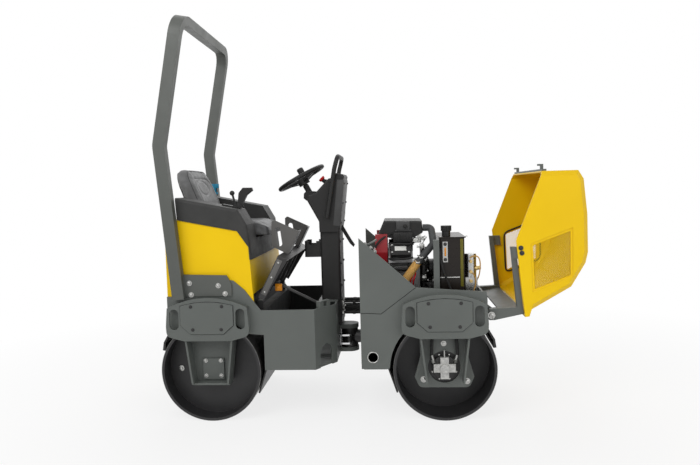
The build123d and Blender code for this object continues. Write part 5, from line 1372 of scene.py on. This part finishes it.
# %% Lever boots and hub cap
BOOT_RINGS, RING_RISE, RING_SHRINK = 5, 0.0055, 0.11
WHEEL_AXIS = Vector((-0.469, 0, 0.883))
lever_y = middle("control_levers").y
hub_top = Vector((-0.416, 0, 1.345)) - WHEEL_AXIS * 0.0055
BOOTS = (
    (Vector((-0.722, lever_y, 1.188)), Vector((0.05, 0, 1)), 0.021),
    (Vector((-0.744, lever_y, 1.192)), Vector((-0.22, 0, 1)), 0.012))
build(
    "lever_boots", "rear_frame", (soft_rubber, "dark_plastic"),
    *((ring, spot + way.normalized() * number * RING_RISE, way,
       radius * (1 - RING_SHRINK * number), 0.0042, 28)
      for spot, way, radius in BOOTS for number in range(BOOT_RINGS)), smooth_below=SHARP_ABOVE_ROUND)
build(
    "wheel_hub_cap", "steering_wheel", (console_highlight_grey, "wheel_black"),
    (rod, hub_top, hub_top + WHEEL_AXIS * 0.007, 0.027, 32, 0.002, 0.024))

# %% [markdown]
# A blue clip on the far post of the hoop holds a grease gun or a rag. It is one bent spring strip on a
# back plate.

# %% Blue clip
build(
    "blue_clip", "rear_frame", (clip_blue, "dark_plastic"),
    (slab, (-1.112, 0.425, 1.262), (-1.070, 0.4375, 1.330), 0.004),
    (slab, (-1.072, 0.425, 1.300), (-1.050, 0.4375, 1.330), 0.004),
    (slab, (-1.074, 0.427, 1.258), (-1.058, 0.436, 1.272), 0.003))

# %% [markdown]
# ## Oil hoses over the centre joint
#
# Four hoses and five thin leads go from the tower to the front frame. The centre joint steers and also
# lets the front frame roll, so each hose is in two lengths that meet in a sleeve on the yoke.

# %% Hose lengths and sleeves
HOSE_LINES = ((-0.075, 0.530), (-0.025, 0.550), (0.025, 0.525), (0.075, 0.540))
LEAD_LINES = ((-0.064, 0.592), (-0.048, 0.577), (-0.012, 0.598), (0.046, 0.594), (0.062, 0.580))
HOSE_START, HOSE_JOIN, HOSE_END = -0.181, -0.110, -0.053
HOSE_RADIUS, LEAD_RADIUS = 0.009, 0.0055
HOSE_STEPS = 12
NUT_LENGTH, SLEEVE_HALF = 0.010, 0.008
ALL_LINES = [(*line, HOSE_RADIUS) for line in HOSE_LINES] + [(*line, LEAD_RADIUS) for line in LEAD_LINES]
NUT_LOOK = (zinc, "hose_rubber")


def hose_length(name, start, end):
    """One length of all hoses and leads, cut into rings along its length, between two places along X."""
    shape = bmesh.new()
    for y, z, radius in ALL_LINES:
        made = bmesh.ops.create_cone(
            shape, cap_ends=True, segments=18, radius1=radius, radius2=radius, depth=end - start,
            matrix=placed(((start + end) / 2, y, z), (1, 0, 0)))
        long_edges = [edge for edge in edges_of(made)
                      if abs((edge.verts[0].co - edge.verts[1].co).x) > 0.5 * (end - start)]
        bmesh.ops.subdivide_edges(shape, edges=long_edges, cuts=HOSE_STEPS)
    piece = shown(name, shape, soft_rubber, SHARP_ABOVE_ROUND)
    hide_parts("joint_hoses")
    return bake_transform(piece)


hose_length("joint_hoses_rear", HOSE_START, HOSE_JOIN)
hose_length("joint_hoses_front", HOSE_JOIN, HOSE_END)
for name, body, look, start, end, wider, sides in (
        ("hose_nuts_rear", "rear_frame", NUT_LOOK, HOSE_START, HOSE_START + NUT_LENGTH, 1.5, 6),
        ("hose_sleeves", "centre_yoke", RUBBER, HOSE_JOIN - SLEEVE_HALF, HOSE_JOIN + SLEEVE_HALF, 1.28, 20),
        ("hose_nuts_front", "front_frame", NUT_LOOK, HOSE_END - NUT_LENGTH, HOSE_END, 1.5, 6)):
    build(name, body, look, *(
        (rod, (start, y, z), (end, y, z), radius * wider, sides) for y, z, radius in ALL_LINES))

# %% [markdown]
# ## The raised floor plate
#
# The floor plate is hinged under the seat and stands up here. Its own directions are needed to place
# parts on it: along the plate from the hinge, across it, and out of its tread side.

# %% Tread bars
FLOOR_ANGLE = math.radians(63)
TREAD_FACE = 0.014
TREAD_ROWS, TREAD_COLUMNS = 8, 18
TREAD_SIZE, TREAD_LEAN = (0.024, 0.006, 0.0022), 40
floor_hinge = Vector((-0.618, 0, 0.652))
floor_along = Vector((math.cos(FLOOR_ANGLE), 0, math.sin(FLOOR_ANGLE)))
floor_out = Vector((-floor_along.z, 0, floor_along.x))
floor_turn = Matrix((floor_along, Vector((0, 1, 0)), floor_out)).transposed().to_4x4()


def on_floor(along, across, out):
    return floor_hinge + floor_along * along + floor_out * out + Vector((0, across, 0))


shape = bmesh.new()
for row in range(TREAD_ROWS):
    for column in range(TREAD_COLUMNS):
        across = (column - 8.5) * 0.044 + (0.011 if row % 2 else -0.011)
        lean = math.radians(TREAD_LEAN if (row + column) % 2 else -TREAD_LEAN)
        place = Matrix.Translation(on_floor(0.055 + row * 0.029, across, TREAD_FACE + 0.0006))
        place = place @ floor_turn @ Matrix.Rotation(lean, 4, "Z")
        made = bmesh.ops.create_cube(shape, size=1, matrix=place @ Matrix.Diagonal((*TREAD_SIZE, 1)))
        soften(shape, made["verts"][0].link_edges[:1], 0.0005, 1)
settle("floor_tread", shape, "floor", BLACK)

# %% Floor edge strips, their screws and a switch
STRIP_SIZE = (0.215, 0.0022, 0.030)
STRIP_FACE, STRIP_DEPTH = 0.4168, -0.006
strip_places = [
    Matrix.Translation(on_floor(0.165, side * 0.4158, STRIP_DEPTH)) @ floor_turn for side in SIDES]
strip_screws = [on_floor(along, 0, STRIP_DEPTH) for along in (0.075, 0.165, 0.255)]
build(
    "floor_edge_strips", "floor", (dark_grey, "dark_plastic"),
    *((block, place, STRIP_SIZE, 0.0008) for place in strip_places))
build(
    "floor_strip_screws", "floor", PLATED,
    (side_bolts, [(spot.x, spot.z) for spot in strip_screws], STRIP_FACE, 0.006, False))
build(
    "floor_switch", "floor", (amber, "dark_plastic"),
    (slab, (-0.531, -0.3625, 0.712), (-0.493, -0.3432, 0.752), 0.003),
    (slab, (-0.524, -0.3665, 0.720), (-0.500, -0.3620, 0.744), 0.002))
